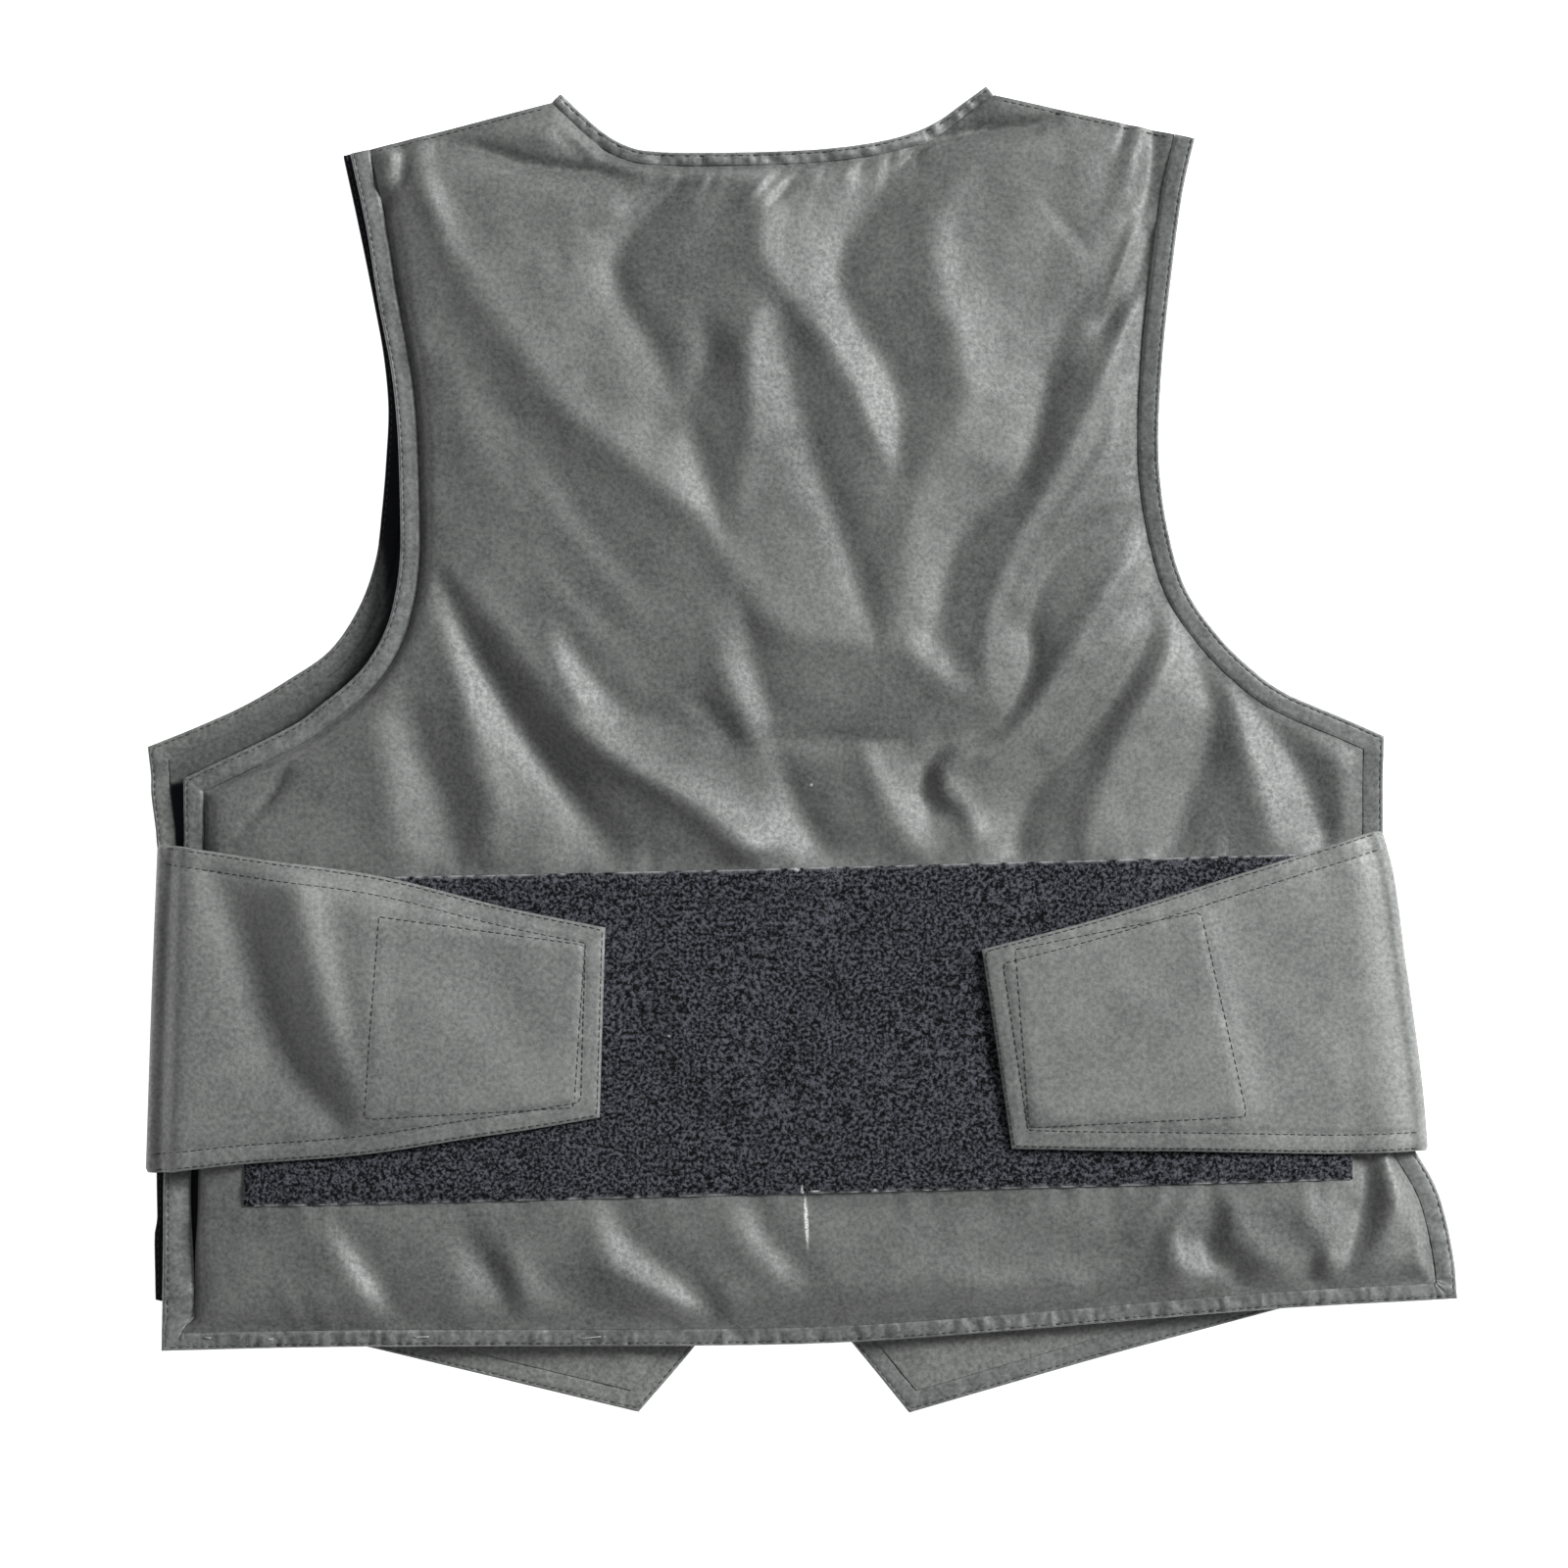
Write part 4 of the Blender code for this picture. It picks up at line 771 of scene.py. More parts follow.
def facing_and_lining(name):
    """Grey satin facing that gives way to the navy taffeta lining and to painted shade, as the attribute
    painted on the piece says.
    """
    material, tree, shader, place = new_material(name, Specular_IOR_Level=0.25, Sheen_Weight=0.1,
                                                 Roughness=0.8)
    grain = noise(tree, place, 0.5, 2.0, 0.65)
    tone = spread(tree, grain, 0.3, 0.7)
    # The attribute's dark end is the navy lining, and beside the back panel's edge it is also painted shade.
    navy_and_painted_shade = node(tree, "Attribute", attribute_name="navy_and_painted_shade").outputs["Fac"]
    base = mix(tree, navy_and_painted_shade, mix(tree, tone, "#646664", "#8b8d8b"), mix(tree, tone, "#07080f", "#10121d"))
    cover(tree, shader, base, grain, 0.5, 0.25)
    return material


def loop_pile(name):
    """Brushed nylon loop pile: charcoal fleece with lighter tips and no gloss."""
    material, tree, shader, place = new_material(name, Specular_IOR_Level=0.05, Sheen_Weight=0.04,
                                                 Sheen_Roughness=0.7, Roughness=0.95)
    fleece = noise(tree, place, 0.62, 4.0, 0.75)
    patches = noise(tree, place, 0.04, 3.0)
    tone = reckon(tree, "MULTIPLY_ADD", patches, 0.35, spread(tree, fleece, 0.4, 0.62, -0.6, 0.95))
    # Pale selvedge colour at the loop panel's edge, partly painted highlight along the upper edge.
    selvedge_and_highlight = node(tree, "Attribute", attribute_name="selvedge_and_highlight").outputs["Fac"]
    base = mix(tree, selvedge_and_highlight, mix(tree, tone, "#000103", "#5e5f67"), "#a3a6a7")
    base = mix(tree, mark_mask(tree, place, LOOP_MARKS), base, "#c9ccca")
    cover(tree, shader, base, fleece, 0.8, 0.8)
    return material


def hook_tape(name):
    """Moulded nylon hook tape: black, a little glossy, with rows of hooks 1.6 mm apart."""
    material, tree, shader, place = new_material(name, Specular_IOR_Level=0.5, Roughness=0.45)
    cells = node(tree, "TexVoronoi", {"Scale": 0.62, "Randomness": 0.15}, {"Vector": place})
    rows = cells.outputs["Distance"]
    cover(tree, shader, mix(tree, spread(tree, rows, 0.1, 0.6), "#1d1e20", "#0c0c0e"), rows, 0.8, 0.6)
    return material


def spun_thread(name, code):
    """Spun polyester sewing thread, with its fine twist."""
    material, tree, shader, place = new_material(name, Specular_IOR_Level=0.4, Roughness=0.6)
    twist = noise(tree, place, 1.8, 2.0)
    cover(tree, shader, mix(tree, twist, code, "#2b2d2f"), twist, 0.4, 0.1)
    return material


def white_paper(name):
    """Matt white background paper, lit evenly."""
    material, tree, shader, place = new_material(name, Specular_IOR_Level=0.1, Roughness=0.9,
                                                 Emission_Color=colour("#ffffff"), Emission_Strength=0.95)
    cover(tree, shader, mix(tree, noise(tree, place, 0.01, 2.0), "#f4f5f5", "#f8f8f8"))
    return material


def stitch_form():
    """One stitch: a short round thread along +X, its ends sunk into the cloth."""
    half = STITCH_LENGTH / 2
    bm = bmesh.new()
    bmesh.ops.create_cone(bm, cap_ends=True, segments=6, radius1=STITCH_RADIUS, radius2=STITCH_RADIUS,
                          depth=STITCH_LENGTH)
    bmesh.ops.rotate(bm, verts=bm.verts, cent=(0, 0, 0), matrix=Matrix.Rotation(math.pi / 2, 3, "Y"))
    bmesh.ops.subdivide_edges(bm, edges=[edge for edge in bm.edges if edge.calc_length() > half], cuts=2)
    for vert in bm.verts:
        outer = abs(vert.co.x) / half
        vert.co.z = vert.co.z * (1 - 0.3 * outer) + 0.14 - 0.3 * outer ** 3
    bm.verts.index_update()
    corners = np.array([vert.co for vert in bm.verts])
    faces = [[vert.index for vert in face.verts] for face in bm.faces]
    bm.free()
    return corners, faces


def add_stitches(name, lines, material, seed, pitch=STITCH_PITCH):
    """Stitches along lines that lie on the cloth, joined into one piece."""
    corners, faces = stitch_form()
    corners = corners * (pitch / STITCH_PITCH, 1.0, 1.0)
    rng = np.random.default_rng(seed)
    points, polygons = [], []
    for line in lines:
        places = resample(np.asarray(line, dtype=float), pitch)
        for start, end in zip(places, places[1:]):
            run = end - start
            along = run / (np.linalg.norm(run) + 1e-9)
            side = np.array([-along[1], along[0], 0.0]) + along * rng.uniform(-STITCH_WANDER, STITCH_WANDER)
            side /= np.linalg.norm(side)
            turned = corners @ np.stack([along, side, np.cross(along, side)])
            first = len(points) * len(corners)
            points.append(turned + (start + end) / 2)
            polygons.extend([[index + first for index in face] for face in faces])
    mesh = bpy.data.meshes.new(name)
    mesh.from_pydata((np.vstack(points) * MM).tolist(), [], polygons)
    obj = add_object(name, mesh, material)


def strip_section(width, seam_level):
    """Half of a strip's section: the way across from the seam, and the height of its upper side."""
    stitch = width - EDGE_STITCH
    across = np.concatenate([[0.0, 0.04, 0.35, 0.8, 1.3], np.linspace(2.0, stitch - 0.9, 4),
                             stitch + np.array([-0.45, 0.0, 0.45, 0.9]), [width - 0.35, width]])
    seam_side = seam_level + (1.0 - seam_level) * rise(across, 0.75)
    edge_side = 0.25 + 0.75 * quarter_round(width - across, 1.4)
    groove = 0.38 * bell(across - width + EDGE_STITCH, 0.5)
    return across, STRIP_WALL + (STRIP_HEIGHT - STRIP_WALL) * np.minimum(seam_side, edge_side) - groove


def add_strip(name, seam, outer, material, seed, pucker, seam_level):
    """A turned and topstitched edge strip, from its seam to its outer edge, and its stitch line."""
    width = float(np.median(np.linalg.norm((outer - seam)[:, :2], axis=1)))
    across, height = strip_section(width, seam_level)
    part = (across / width)[None, :, None]
    along = way_along(outer)[:, None]
    surface = seam[:, None] * (1 - part) + outer[:, None] * part
    wave = sum(high * lattice_noise(along, across[None, :] * change, length, seed + number)
               for number, (high, change, length) in enumerate(STRIP_WAVES))
    middle = np.sin(np.pi * np.clip(across / width, 0.0, 1.0))[None, :]
    upper = surface.copy()
    upper[..., 2] += height + pucker[:, None] * wave * (0.35 + 0.65 * middle)
    lower = surface[:, ::-1].copy()
    lower[..., 2] += 0.3 * (across / width)[None, ::-1]
    bm = bmesh.new()
    net = [[bm.verts.new(point) for point in row] for row in np.concatenate([upper, lower], axis=1)]
    for row, after in zip(net, net[1:]):
        for i in range(len(row)):
            bm.faces.new((row[i - 1], row[i], after[i], after[i - 1]))
    bm.faces.new(net[0])
    bm.faces.new(net[-1][::-1])
    bmesh.ops.recalc_face_normals(bm, faces=bm.faces)
    stitch = int(np.argmin(np.abs(across - width + EDGE_STITCH)))
    return finish_object(name, bm, material), upper[:, stitch]


def build_strip(name, run, widths, material, seed, pucker, seam_level, gape=0.0, tilt=0.0):
    """A strip round a stretch of a panel's rim, and its stitch line.

    The gape is how far the seam is moved out, and the tilt how much higher the outer edge lies.
    """
    count = len(run)
    seam = offset_line(run, SEAM_GAP * 0.5)
    outer = offset_line(run, widths + SEAM_GAP)
    outer[:, 2] += tilt
    away = (outer - seam) / np.linalg.norm(outer - seam, axis=1)[:, None]
    seam = seam + away * np.broadcast_to(gape, count)[:, None]
    both = np.column_stack([seam, outer, np.broadcast_to(pucker, count), np.broadcast_to(seam_level, count)])
    fine = []
    for k, length in enumerate(np.linalg.norm(np.diff(outer[:, :2], axis=0), axis=1)):
        parts = max(1, round(length / STRIP_STEP))
        t = (np.arange(parts) / parts)[:, None]
        fine.append(both[k] * (1 - t) + both[k + 1] * t)
    both = np.vstack([*fine, both[-1:]])
    obj, line = add_strip(name, both[:, :3], both[:, 3:6], material, seed, both[:, 6], both[:, 7:])
    return obj, line


def edge_lift(places):
    """How much higher the panel's edge lies on the right and at the shoulder seams, which aren't padded."""
    x, y = places[..., 0], places[..., 1]
    right = 3.1 * soft_step(x - 60.0, 88.0) * soft_step(y + 40.0, 48.0)
    shoulder = 2.4 * soft_step(y - 262.0, 20.0) * soft_step(abs(x + 25.0) - 75.0, 30.0)
    return np.maximum(right, shoulder)


def flush(places):
    """How level the strip lies with the padding: along the hem, and most of all at the right tip."""
    x, y = places[..., 0], places[..., 1]
    right = soft_step(x - 110.0, 40.0) * (0.45 + 0.55 * soft_step(x - 238.0, 16.0))
    hem = 0.85 * soft_step(-(y + 240.0), 12.0) * soft_step(x + 160.0, 60.0)
    return np.maximum(right, hem)


def shoulder_shift(places):
    """How far in the left shoulder's edge lies, where the front shows beside it."""
    return 2.4 * soft_step(places[:, 1] - 140.0, 50.0) * soft_step(-(places[:, 0] + 150.0), 60.0)


def right_tip_shift(places):
    """How far out the right tip's edge lies, down to where it goes in under the wing."""
    x, y = places[:, 0], places[:, 1]
    out = np.interp(y, [-46, -36, -26, -14, 0, 12], [6.4, 5.6, 3.6, 2.0, 1.8, 2.0])
    return out * soft_step(x - 232.0, 24.0) * soft_step(y + 47.0, 5.0)


def left_tip_shift(places):
    """How the left front's edge runs straight down from its tip to the wing, in x."""
    x, y = places[:, 0], places[:, 1]
    ways = np.interp(y, [-60, -48, -40, -30, -21, -12, -3.7], [0.0, -1.3, -2.1, -1.4, 0.6, 1.2, 0.0])
    return np.where(x < -278.0, ways, 0.0)


def below_left_wing(places):
    """How much wider the left side's strip is below the wing, and how far the padding lies from it there."""
    x, y = places[..., 0], places[..., 1]
    left = soft_step(-(x + 255.0), 20.0)
    wider = (WIDER_STRIP + 2.4 * soft_step(-(y + 225.0), 30.0)) * left
    wider *= soft_step(-(y + 165.0), 30.0) * soft_step(y + 262.0, 4.0)
    return wider, SLIT_WIDTH * left * soft_step(-(y + 165.0), 30.0) * soft_step(y + 222.0, 26.0)


def back_folds(places):
    """The big folds of the back panel, which the loop panel and the wings press flat."""
    x, y = places[..., 0], places[..., 1]
    above = 1.0 / (1.0 + np.exp(-(y - CREASES_END_Y) * 4.0 / CREASES_FADE))
    below = 1.0 / (1.0 + np.exp((y - CREASES_START_Y) * 4.0 / CREASES_FADE))
    beside_loop = soft_step(x - 253.0, 6.0) * soft_step(-(y + 178.0), 8.0)
    free = np.maximum(np.maximum(CREASES_UNDER_LOOP, above + below), beside_loop)
    return relax(crease_height(places, BACK_CREASES) * free, 1) * FOLD_SCALE


def back_gathers(places, edge, along, loop_edge, loop_along):
    """The small gathers that the seams pull in the cloth, at the rim and at the loop panel."""
    neck = np.exp(-(places[..., 0] / 62.0) ** 4) * (places[..., 1] > 150.0)
    gathers = line_noise(along - 0.45 * edge * neck, 11, (1.0, 4.0), (0.8, 8.0))
    gathers *= np.exp(-edge / (6.0 + 2.0 * neck)) * (0.5 + 1.8 * neck)
    return gathers + line_noise(loop_along, 21, (1.0, 5.5), (0.7, 12.0)) * 0.75 * np.exp(-loop_edge / 8.0)


def back_padding(places, edge):
    """How thick the back panel is: a low rim at the strips, then the padding."""
    raised = edge_lift(places)
    hem = soft_step(-(places[..., 1] + 232.0), 16.0) * soft_step(280.0 - abs(places[..., 0]), 16.0)
    reach = 3.6 + 4.4 * raised + 5.0 * hem
    dip = RIM_DIP - 0.8 * flush(places)
    return RIM_HEIGHT - dip + raised + (PADDING + dip - raised) * rise(edge, reach)


def build_back(looks):
    """The padded back panel with all its folds, and the strips round it, which gives its two surfaces."""
    rim = upper_rim("back_panel")
    rim[:, 0] += shoulder_shift(rim) + right_tip_shift(rim)
    sides = fine_sides(rim, BACK_CORNERS, PANEL_PARTS)
    surface = relax(fill_patch(*sides), 400)
    surface[..., 2] -= RIM_HEIGHT
    edge, along, _ = nearest_on_line(surface, closed(rim))
    strip_growth, slit = below_left_wing(surface)
    surface[..., 0] += (strip_growth + slit) * np.exp(-edge / 9.0)
    edge = relax(edge, 12)
    folds = back_folds(surface)
    inner = rise(edge, FOLD_INNER_REACH)
    underside = surface.copy()
    underside[..., 2] += DOME * (1.0 - np.exp(-edge / DOME_REACH)) + 0.7 * folds * inner

    x, y = surface[..., 0], surface[..., 1]
    loop_edge, loop_along, _ = nearest_on_line(surface, closed(upper_rim("loop_panel")))
    gathers = back_gathers(surface, edge, along, loop_edge, loop_along)
    ripple = 0.4 * lattice_noise(x + 0.5 * y, y - 0.3 * x, 17.0, 31) + 0.18 * lattice_noise(x, y, 7.0, 32)
    upper = underside.copy()
    upper[..., 2] += back_padding(surface, edge)
    upper[..., 2] += folds * (rise(edge, FOLD_EDGE_REACH) - 0.7 * inner)
    upper[..., 2] = relax(upper[..., 2], 1)
    upper[..., 2] += ripple * rise(edge, FOLD_EDGE_REACH) + gathers * rise(edge, 3.0)
    upper[..., 2] -= 0.2 * bell(loop_edge, 1.6)
    upper[..., 2] += small_crease_height(surface, SMALL_CREASES)
    obj = add_panel("back_panel_cloth", upper, underside, PANEL_PARTS, looks["cloth"])
    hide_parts("back_panel")
    build_back_strips(sides, upper, looks)
    return upper, underside


def build_back_strips(sides, back_top, looks):
    """The strips round the back panel, their stitches, and those of the shoulder seams."""
    bottom, right, top, left = sides
    lengths = (len(left) - 1, len(bottom) - 1, len(right) - 1)
    widths = np.repeat([SIDE_STRIP, HEM_STRIP, SIDE_STRIP], lengths)
    run = np.vstack([left[::-1][:-1], bottom[:-1], right])
    x, y = run[:, 0], run[:, 1]
    run[:, 2] += edge_lift(run) - RIM_HEIGHT + 0.9 * soft_step(x - 130.0, 20.0) * soft_step(y - 170.0, 60.0)
    strip_growth, slit = below_left_wing(run)
    puckers = np.where(y < -235.0, 0.9, np.where(y < -180.0, 0.6, 0.3))
    tilt = np.where(x < 0.0, 0.9 * soft_step(y - 5.0, 24.0), 2.2 * soft_step(y - 80.0, 60.0))
    tilt -= 1.8 * soft_step(-(y + 244.0), 8.0) * soft_step(x + 270.0, 20.0)
    obj, edge_line = build_strip("back_edge_strip", run, widths, looks["strip"], seed=41, pucker=puckers,
                                 seam_level=0.6 + 0.36 * flush(run), gape=-strip_growth,
                                 tilt=tilt + 0.4 * slit)
    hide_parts("back_edge_binding")
    add_basting(obj.data, looks["basting"])

    shoulder = SHOULDER_STRETCHES * PANEL_PARTS
    neck = top[::-1][shoulder:-shoulder].copy()
    neck[:, 2] -= RIM_HEIGHT
    obj, neck_line = build_strip("back_neck_strip", neck, NECK_STRIP, looks["strip"], seed=42, pucker=1.3,
                                 seam_level=0.8)
    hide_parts("neck_binding")
    stitches = [edge_line, neck_line]
    ground = Ground(back_top)
    for part in (top[:shoulder], top[-shoulder:]):
        line = offset_line(part[2:-2], SHOULDER_STITCH)
        line[:, 2] = ground.height(line)
        stitches.append(line)
    add_stitches("back_edge_stitches", stitches, looks["thread"], 43)


def add_basting(strip, material):
    """The white threads left in the hem strip."""
    ground = Ground()
    ground.add_mesh(strip)
    for number, (start, end) in enumerate(BASTING):
        path = np.array([(*start, 0.0), (*end, 0.0)])
        path[:, 2] = ground.height(path, missing=RIM_HEIGHT) + 0.4
        add_stitches(f"basting_{number}", [path], material, 44 + number, math.dist(start, end))


def build_front_strips(side, looks):
    """The strips round a front panel's armhole and hem, and their stitches."""
    bottom, right, _, left = fine_sides(upper_rim(f"front_panel_{side}"), FRONT_CORNERS[side], PANEL_PARTS)
    if side == "left":
        left[:, 0] += left_tip_shift(left)
        left = left[::-1]
        armhole = left[left[:, 1] > -50.0]
        hem = np.vstack([left[left[:, 1] < -186.0][:-1], bottom])
        lower = 1.2 + 1.6 * soft_step(-(hem[:, 1] + 219.0), 6.0)
        hem[:, 0] -= lower * soft_step(hem[:, 1] + 258.0, 6.0) * soft_step(-(hem[:, 0] + 270.0), 8.0)
    else:
        armhole = right[right[:, 1] > -40.0]
        hem = np.vstack([bottom[:-1], right[right[:, 1] < -181.0]])
    look = looks["facing" if side == "left" else "strip"]
    stitches = []
    for part, run in (("armhole", armhole), ("hem", hem)):
        run[:, 2] = FRONT_STRIP_Z
        obj, line = build_strip(f"front_{part}_strip_{side}", run, SIDE_STRIP, look, seed=90, pucker=0.35,
                                seam_level=0.85)
        if side == "left":
            # The strip's attribute holds its navy lining and painted shade beside the back panel's edge.
            paint(obj, "navy_and_painted_shade", left_strip_navy_and_shade_part)
        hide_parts(f"front_{part}_binding_{side}")
        stitches.append(line)
    return stitches


def build_loop_panel(back_top, looks):
    """The fleecy loop panel, sewn flat across the lower back."""
    rim = upper_rim("loop_panel")
    surface = fill_patch(*fine_sides(rim, RECTANGLE, LOOP_PARTS))
    spacing = 4
    coarse = Ground(back_top).height(surface[::spacing, ::spacing])
    base = surface.copy()
    base[..., 2] = widen(drape(coarse, LOOP_LIFT, 6), surface.shape[:2], spacing)
    edge = nearest_on_line(surface, closed(rim))[0]
    x, y = surface[..., 0], surface[..., 1]
    tufts = np.random.default_rng(51).uniform(-0.5, 0.5, x.shape)
    pile = (lattice_noise(x, y, 2.2, 52) * 0.5 + tufts) * PILE_HEIGHT
    upper = base.copy()
    upper[..., 2] += LOOP_THICKNESS * (0.2 + 0.8 * rise(edge, 1.8)) + pile * rise(edge, 1.2)
    upper[..., 2] += crease_height(surface, LOOP_CREASES) * rise(edge, 16.0) * 0.9
    upper[..., 2] -= 0.55 * bell(edge - 2.6, 0.8)
    base[..., 2] = np.minimum(base[..., 2], upper[..., 2] - 0.5)
    obj = add_panel("loop_panel_pile", upper, base, LOOP_PARTS, looks["loop"])
    paint(obj, "selvedge_and_highlight", selvedge_and_highlight_part)
    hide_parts("loop_panel")
    return upper


def selvedge_and_highlight_part(places):
    """How much of the loop tape's pale selvedge shows: in spots, with more along the upper edge as a painted
    highlight where that edge faces the light.
    """
    from_edge, along, _ = nearest_on_line(places, closed(upper_rim("loop_panel")))
    # The extra 0.3 above y -120 is painted highlight on the upper edge.
    spots = np.clip(0.3 + 0.3 * (places[:, 1] > -120.0) + line_noise(along, 53, (1.0, 3.0)), 0.0, 1.0)
    return spots * bell(from_edge, 0.7) * (abs(places[:, 0]) < 250.0)


def build_cloth_layer(name, node_name, corners, material, parts, step, wrinkle, seed):
    """A soft solid made again with a fine, slightly wrinkled upper side and the same underside."""
    rim = upper_rim(node_name)
    sides = fine_sides(rim, corners, parts)
    for side in sides:
        side[:, 0] += left_tip_shift(side)
    surface = fill_patch(*sides)
    ground = Ground()
    ground.add_mesh(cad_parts[node_name].data)
    inside = surface + (surface.mean(axis=(0, 1)) - surface) * 0.002
    top = ground.height(inside, missing=np.nan)
    low = ground.height(inside, downwards=False, missing=np.nan)
    top = np.where(np.isnan(top), surface[..., 2], top)
    low = np.where(np.isnan(low), top - 0.8, low)
    edge = nearest_on_line(surface, closed(rim))[0]
    x, y = surface[..., 0], surface[..., 1]
    ripple = lattice_noise(x, y, 16.0, seed) + 0.5 * lattice_noise(x, y, 7.0, seed + 1)
    upper, lower = surface.copy(), surface.copy()
    upper[..., 2] = relax(top, parts * 2) + wrinkle * ripple * rise(edge, 6.0)
    lower[..., 2] = np.minimum(relax(low, parts * 2), upper[..., 2] - 0.4)
    obj = add_panel(name, upper, lower, step, material)
    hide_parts(node_name)
    return obj, upper


def build_back_lining(back_under, looks):
    """The lining on the back panel's inner face, which follows its folds."""
    upper = fill_patch(*fine_sides(upper_rim("back_lining"), BACK_CORNERS, BACK_LINING_PARTS))
    upper[..., 2] = Ground(back_under).height(upper, downwards=False) - LINING_GAP
    lower = upper.copy()
    lower[..., 2] -= LINING_THICKNESS
    obj = add_panel("back_lining_cloth", upper, lower, BACK_LINING_PARTS // 2, looks["lining"])
    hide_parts("back_lining")


def past_facing(x, y):
    """How far a place lies past the inner edge of the left armhole's facing, which runs at a slant."""
    return (y - 93.0 + 1.43 * (x + 182.0)) / 1.745


def navy_and_painted_shade_band(places):
    """How dark the facing is beside the back panel's edge: a band of navy lining that also stands in for
    shade, and painted shade that darkens the facing towards the edge, where it goes in below the back panel.
    """
    from_back = nearest_on_line(places, closed(upper_rim("back_panel")))[0] - SIDE_STRIP
    width = np.interp(places[:, 1], [0, 21, 47, 66, 93, 120], [1.5, 2.0, 4.5, 5.0, 10.5, 20.0])
    # Painted shade: the band and the wider darkening stand for the back panel's shadow on the facing.
    return np.maximum(soft_step(width - from_back, 3.0), 0.55 * soft_step(15.0 - from_back, 15.0))


def left_navy_and_shade_part(places):
    """How navy the left front's inner side is: past its armhole's facing, in the slit at its tip, where it
    also stands in for shade, and in a band of painted shade beside the back panel's edge.

    The facing is painted darker towards the back panel's edge, as painted shade where it goes in below it.
    """
    x, y = places[:, 0], places[:, 1]
    slit = soft_step(-(y + 14.0), 1.5) * soft_step(-(x + 270.0), 1.5)
    lining = np.maximum(soft_step(past_facing(x, y), 3.0), slit)
    beside_hem = soft_step(-(x + 262.0), 2.0) * soft_step(y + 252.0, 2.0)
    # The band adds painted shade beside the back panel's edge.
    return np.maximum(lining, navy_and_painted_shade_band(places)) * np.maximum(soft_step(y + 200.0, 2.0), beside_hem)


def right_navy_part(places):
    """The right front's inner side is navy, but for the facing of its hem."""
    return soft_step(places[:, 1] + 150.0, 2.0)


def left_strip_navy_and_shade_part(places):
    """The left front's strip is lining past the armhole's facing and beside the hem, with painted shade
    beside the back panel's edge above the tip.
    """
    x, y = places[:, 0], places[:, 1]
    beside_hem = soft_step(-(x + 282.0), 2.0) * soft_step(y + 257.0, 2.0) * soft_step(-(y + 150.0), 2.0)
    lining = np.maximum(soft_step(past_facing(x, y), 3.0), beside_hem)
    # Painted shade from the band beside the back panel's edge.
    return np.maximum(lining, navy_and_painted_shade_band(places) * soft_step(y + 10.0, 6.0))


def wing_plan(name, inward):
    """A wing's cloth over the back, in plan: its net, its fold, and the line of its free edges."""
    bottom, right, top, left = four_sides(upper_rim(name), RECTANGLE)
    fold, end = (left, right) if inward > 0 else (right, left)
    if inward < 0:
        bottom, top = bottom[::-1], top[::-1]
    fold = smooth_curve(fold, WING_PARTS)
    outer_radius = WING_TURN_RADIUS + WING_THICKNESS / 2
    fold[:, 0] += inward * ((outer_radius + 0.1) * math.cos(math.pi / 4) - WING_FOLD_OUT[name])
    lower = smooth_curve(np.vstack([fold[:1], bottom[2:]]), WING_PARTS)
    middle, reach, lift = WING_LOWER_EDGE[name]
    lower[:, 1] += lift * bell(lower[:, 0] - middle, reach)
    upper = smooth_curve(np.vstack([fold[-1:], top[2:]]), WING_PARTS)
    end = smooth_curve(end, WING_PARTS)
    plan = fill_patch(lower, end, upper, fold)
    plan[..., 2] = 0.0
    return plan, fold, np.vstack([lower, end[1:], upper[::-1][1:]])


def wing_height(name, plan, free_edges, box, ground):
    """How high a wing's cloth lies over the back, with its folds, its hem and its box of stitches."""
    turn_top = WING_TURN_TOP[name]
    shelf_top, shelf_reach = WING_SHELF[name]
    from_fold = np.arange(plan.shape[1])[None, :] * WING_STEP
    shelf = turn_top + (shelf_top - turn_top) * rise(from_fold, shelf_reach)
    shelf = shelf - 0.25 * np.maximum(from_fold - 45.0, 0.0)
    over = drape(ground.height(plan), WING_LIFT + WING_THICKNESS / 2, 60)
    over = relax(np.maximum(over, shelf), 14)

    edge, along, _ = nearest_on_line(plan, free_edges)
    past_turn = rise(from_fold, 5.0)
    folds = crease_height(plan, WING_CREASES[name]) * (0.5 + 0.5 * rise(edge, 7.0))
    over += (folds + 0.35 * lattice_noise(plan[..., 0], plan[..., 1], 19.0, 61)) * past_turn
    over += 0.7 * rise(edge, 10.0) * past_turn
    puckers = line_noise(along, 62, (1.0, 3.2), (0.7, 7.5))
    over += 0.22 * puckers * bell(edge - WING_HEM, 4.0) * past_turn
    over += 0.16 * puckers * bell(edge, 2.5) * past_turn
    box_edge, box_along, _ = nearest_on_line(plan, box)
    over -= 0.35 * bell(box_edge, 1.3)
    over += 0.18 * line_noise(box_along, 64, (1.0, 4.0)) * bell(box_edge, 4.0)
    over -= 0.6 * bell(edge - WING_HEM, 1.1) * past_turn
    join = np.clip(1.0 - np.arange(plan.shape[1]) / 5.0, 0.0, 1.0)[None, :] ** 2
    return over * (1 - join) + turn_top * join


def wing_net(side, plan, fold, inward):
    """The middle surface of a wing: its root at the front panel, its turn, and its lie over the back."""
    front = upper_rim(f"front_panel_{side}")
    seam = front[front[:, 0] * inward < np.median(front[:, 0]) * inward]
    seam = seam[np.argsort(seam[:, 1])]
    angles = np.linspace(-math.pi / 2, math.pi / 2, WING_TURN_STEPS + 1)[:-1]
    rows = []
    for (x, y, _), row in zip(fold, plan):
        radius = (row[0, 2] - WING_ROOT_Z) / 2
        turn = [(x - inward * WING_TURN_RADIUS * math.cos(angle), y,
                 WING_ROOT_Z + radius + radius * math.sin(angle)) for angle in angles]
        root = (np.interp(y, seam[:, 1], seam[:, 0]) - inward * 0.8, y, WING_ROOT_Z)
        rows.append(np.vstack([root, turn, row]))
    return np.array(rows)


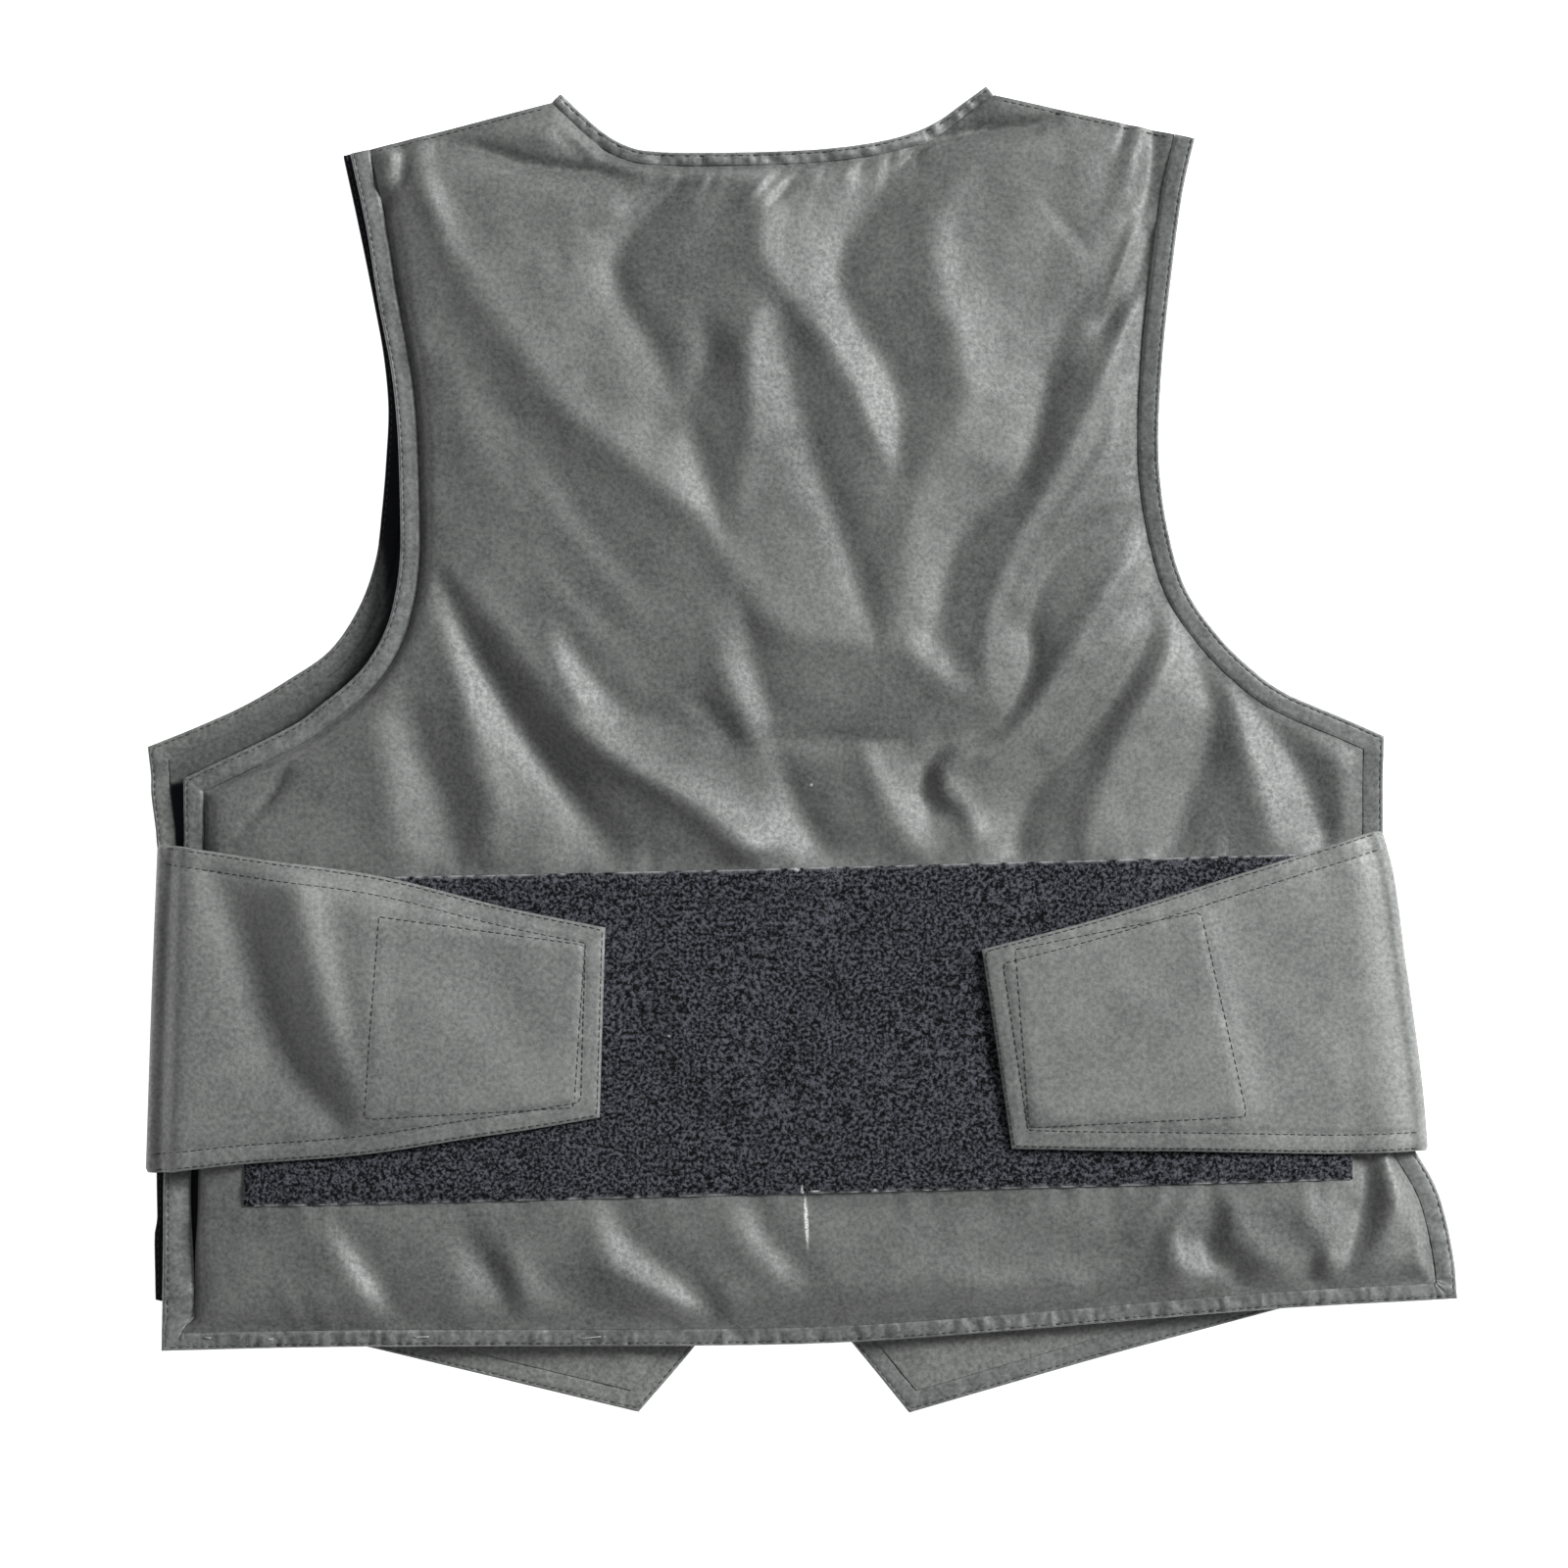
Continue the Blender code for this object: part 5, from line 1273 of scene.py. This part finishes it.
def build_wing(side, ground, inward, looks):
    """A wing of the same cloth, which gives the lines of its stitches: the hem's and the box's."""
    name = f"wing_{side}"
    box = closed(np.array(BOX_STITCHES[name], dtype=float))
    plan, fold, free_edges = wing_plan(name, inward)
    plan[..., 2] = wing_height(name, plan, free_edges, box, ground)
    net = wing_net(side, plan, fold, inward)
    normal = np.cross(np.gradient(net, axis=1), np.gradient(net, axis=0)) * inward
    normal /= np.linalg.norm(normal, axis=-1)[..., None] + 1e-9
    half = WING_THICKNESS / 2
    rows, columns = net.shape[:2]
    j, i = np.mgrid[0:rows, 0:columns]
    from_rim = np.minimum(np.minimum(j, rows - 1 - j) * 1.6, (columns - 1 - i) * 1.6)
    upper = net + normal * (half * (0.25 + 0.75 * quarter_round(from_rim, 1.6)))[..., None]
    lower = net - normal * half
    if inward < 0:
        upper, lower = upper[:, ::-1], lower[:, ::-1]
    obj = add_panel(name + "_cloth", upper, lower, 1, looks["wing"])
    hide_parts(name)

    top = Ground(upper)
    lines = [inner_line(plan, inset, inward) for inset in (WING_EDGE_STITCH, WING_HEM)]
    for line in lines:
        line[:, 2] = top.height(line)
    box = resample(box, 2.0)
    return [*lines, np.column_stack([box, top.height(box)])]


def inner_line(plan, inset, inward):
    """A line along a wing's three free edges, so far in from them."""
    free_edges = np.vstack([plan[0], plan[1:, -1], plan[-1, ::-1][1:]])
    moved = offset_line(free_edges, -inset * inward)
    return moved[nearest_on_line(moved, free_edges)[0] > inset - 0.15]


def build_side(side, inward, ground, looks):
    """What lies on one side: the front panel with its lining and strips, the hook patch and the wing.

    Inward is 1 where the vest's middle lies towards +X, and -1 where it lies the other way.
    """
    corners = FRONT_CORNERS[side]
    obj, _ = build_cloth_layer(f"front_{side}_cloth", f"front_panel_{side}", corners, looks["cloth"],
                               parts=PANEL_PARTS, step=PANEL_PARTS, wrinkle=0.0, seed=71)
    obj, _ = build_cloth_layer(f"front_{side}_lining", f"front_lining_{side}", corners, looks["facing"],
                               parts=LINING_PARTS, step=LINING_PARTS, wrinkle=0.15, seed=73)
    # On the left this attribute also holds painted shade beside the back panel's edge.
    paint(obj, "navy_and_painted_shade", left_navy_and_shade_part if side == "left" else right_navy_part)
    obj, tape_top = build_cloth_layer(f"hook_patch_{side}_tape", f"hook_patch_{side}", RECTANGLE,
                                      looks["hook"], parts=PATCH_PARTS, step=PATCH_PARTS // 2,
                                      wrinkle=0.0, seed=75)
    ground.add_grid(tape_top)
    lines = build_wing(side, ground, inward, looks) + build_front_strips(side, looks)
    add_stitches(f"stitches_{side}", lines, looks["thread"], 81)


def build_vest():
    """Every piece of the vest, from the back panel out to the wings."""
    looks = {
        "cloth": satin_cloth("coated_satin", "#7b7d7b", "#424443", CLOTH_MARKS),
        "wing": satin_cloth("coated_satin_wing", "#8c8e8c", "#545655"),
        "strip": satin_cloth("coated_satin_strip", "#858786", "#484a49"),
        "lining": lining_cloth("nylon_taffeta"),
        "facing": facing_and_lining("satin_facing_and_taffeta"),
        "loop": loop_pile("brushed_loop_pile"),
        "hook": hook_tape("moulded_hook_tape"),
        "thread": spun_thread("spun_grey_thread", "#484a4b"),
        "basting": spun_thread("white_basting_thread", "#dfe1de"),
    }
    back_top, back_under = build_back(looks)
    ground = Ground(back_top, build_loop_panel(back_top, looks))
    ground.add_mesh(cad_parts["back_edge_binding"].data)
    for side, inward in (("left", 1.0), ("right", -1.0)):
        build_side(side, inward, ground, looks)
    build_back_lining(back_under, looks)
    for name in ("front_zip", "front_neck_binding_left", "front_neck_binding_right"):
        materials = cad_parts[name].data.materials
        materials.clear()
        materials.append(looks["strip"])


def build_floor():
    """A wide pale floor under the vest."""
    bpy.ops.mesh.primitive_plane_add(size=FLOOR_SIZE, location=(0, 0, FLOOR_Z))
    floor = bpy.context.object
    floor.name = "floor"
    bpy.ops.object.transform_apply(location=True)
    floor.data.materials.append(white_paper("white_paper"))


def add_light(name, azimuth, elevation, distance, size, power):
    """A square soft light that points at the vest."""
    data = bpy.data.lights.new(name, "AREA")
    data.size = size
    data.energy = power
    light = bpy.data.objects.new(name, data)
    bpy.context.scene.collection.objects.link(light)
    a, e = math.radians(azimuth), math.radians(elevation)
    place = Vector((math.cos(a) * math.cos(e), math.sin(a) * math.cos(e), math.sin(e))) * distance
    light.location = place
    light.rotation_mode = "QUATERNION"
    light.rotation_quaternion = (-place).to_track_quat("-Z", "Y")


def build_camera_and_light():
    """The camera straight above the vest, as in the photo, and soft light from the upper right."""
    scene = bpy.context.scene
    camera = bpy.data.objects.new("camera", bpy.data.cameras.new("camera"))
    scene.collection.objects.link(camera)
    camera.location = Vector((*PICTURE_MIDDLE, CAMERA_HEIGHT)) * MM
    camera.data.sensor_width = SENSOR
    camera.data.lens = SENSOR * (CAMERA_HEIGHT - MID_HEIGHT) / PICTURE_WIDTH
    scene.camera = camera
    add_light("key", azimuth=28.0, elevation=32.0, distance=7.0, size=2.3, power=715.0)
    add_light("fill", azimuth=200.0, elevation=65.0, distance=3.2, size=2.5, power=4.0)
    scene.world = bpy.data.worlds.new("studio")
    scene.world.use_nodes = True
    background = scene.world.node_tree.nodes["Background"]
    background.inputs["Color"].default_value = (1.0, 1.0, 1.0, 1.0)
    background.inputs["Strength"].default_value = 0.22
    scene.view_settings.view_transform = "Standard"


build_camera_and_light()
build_floor()
build_vest()
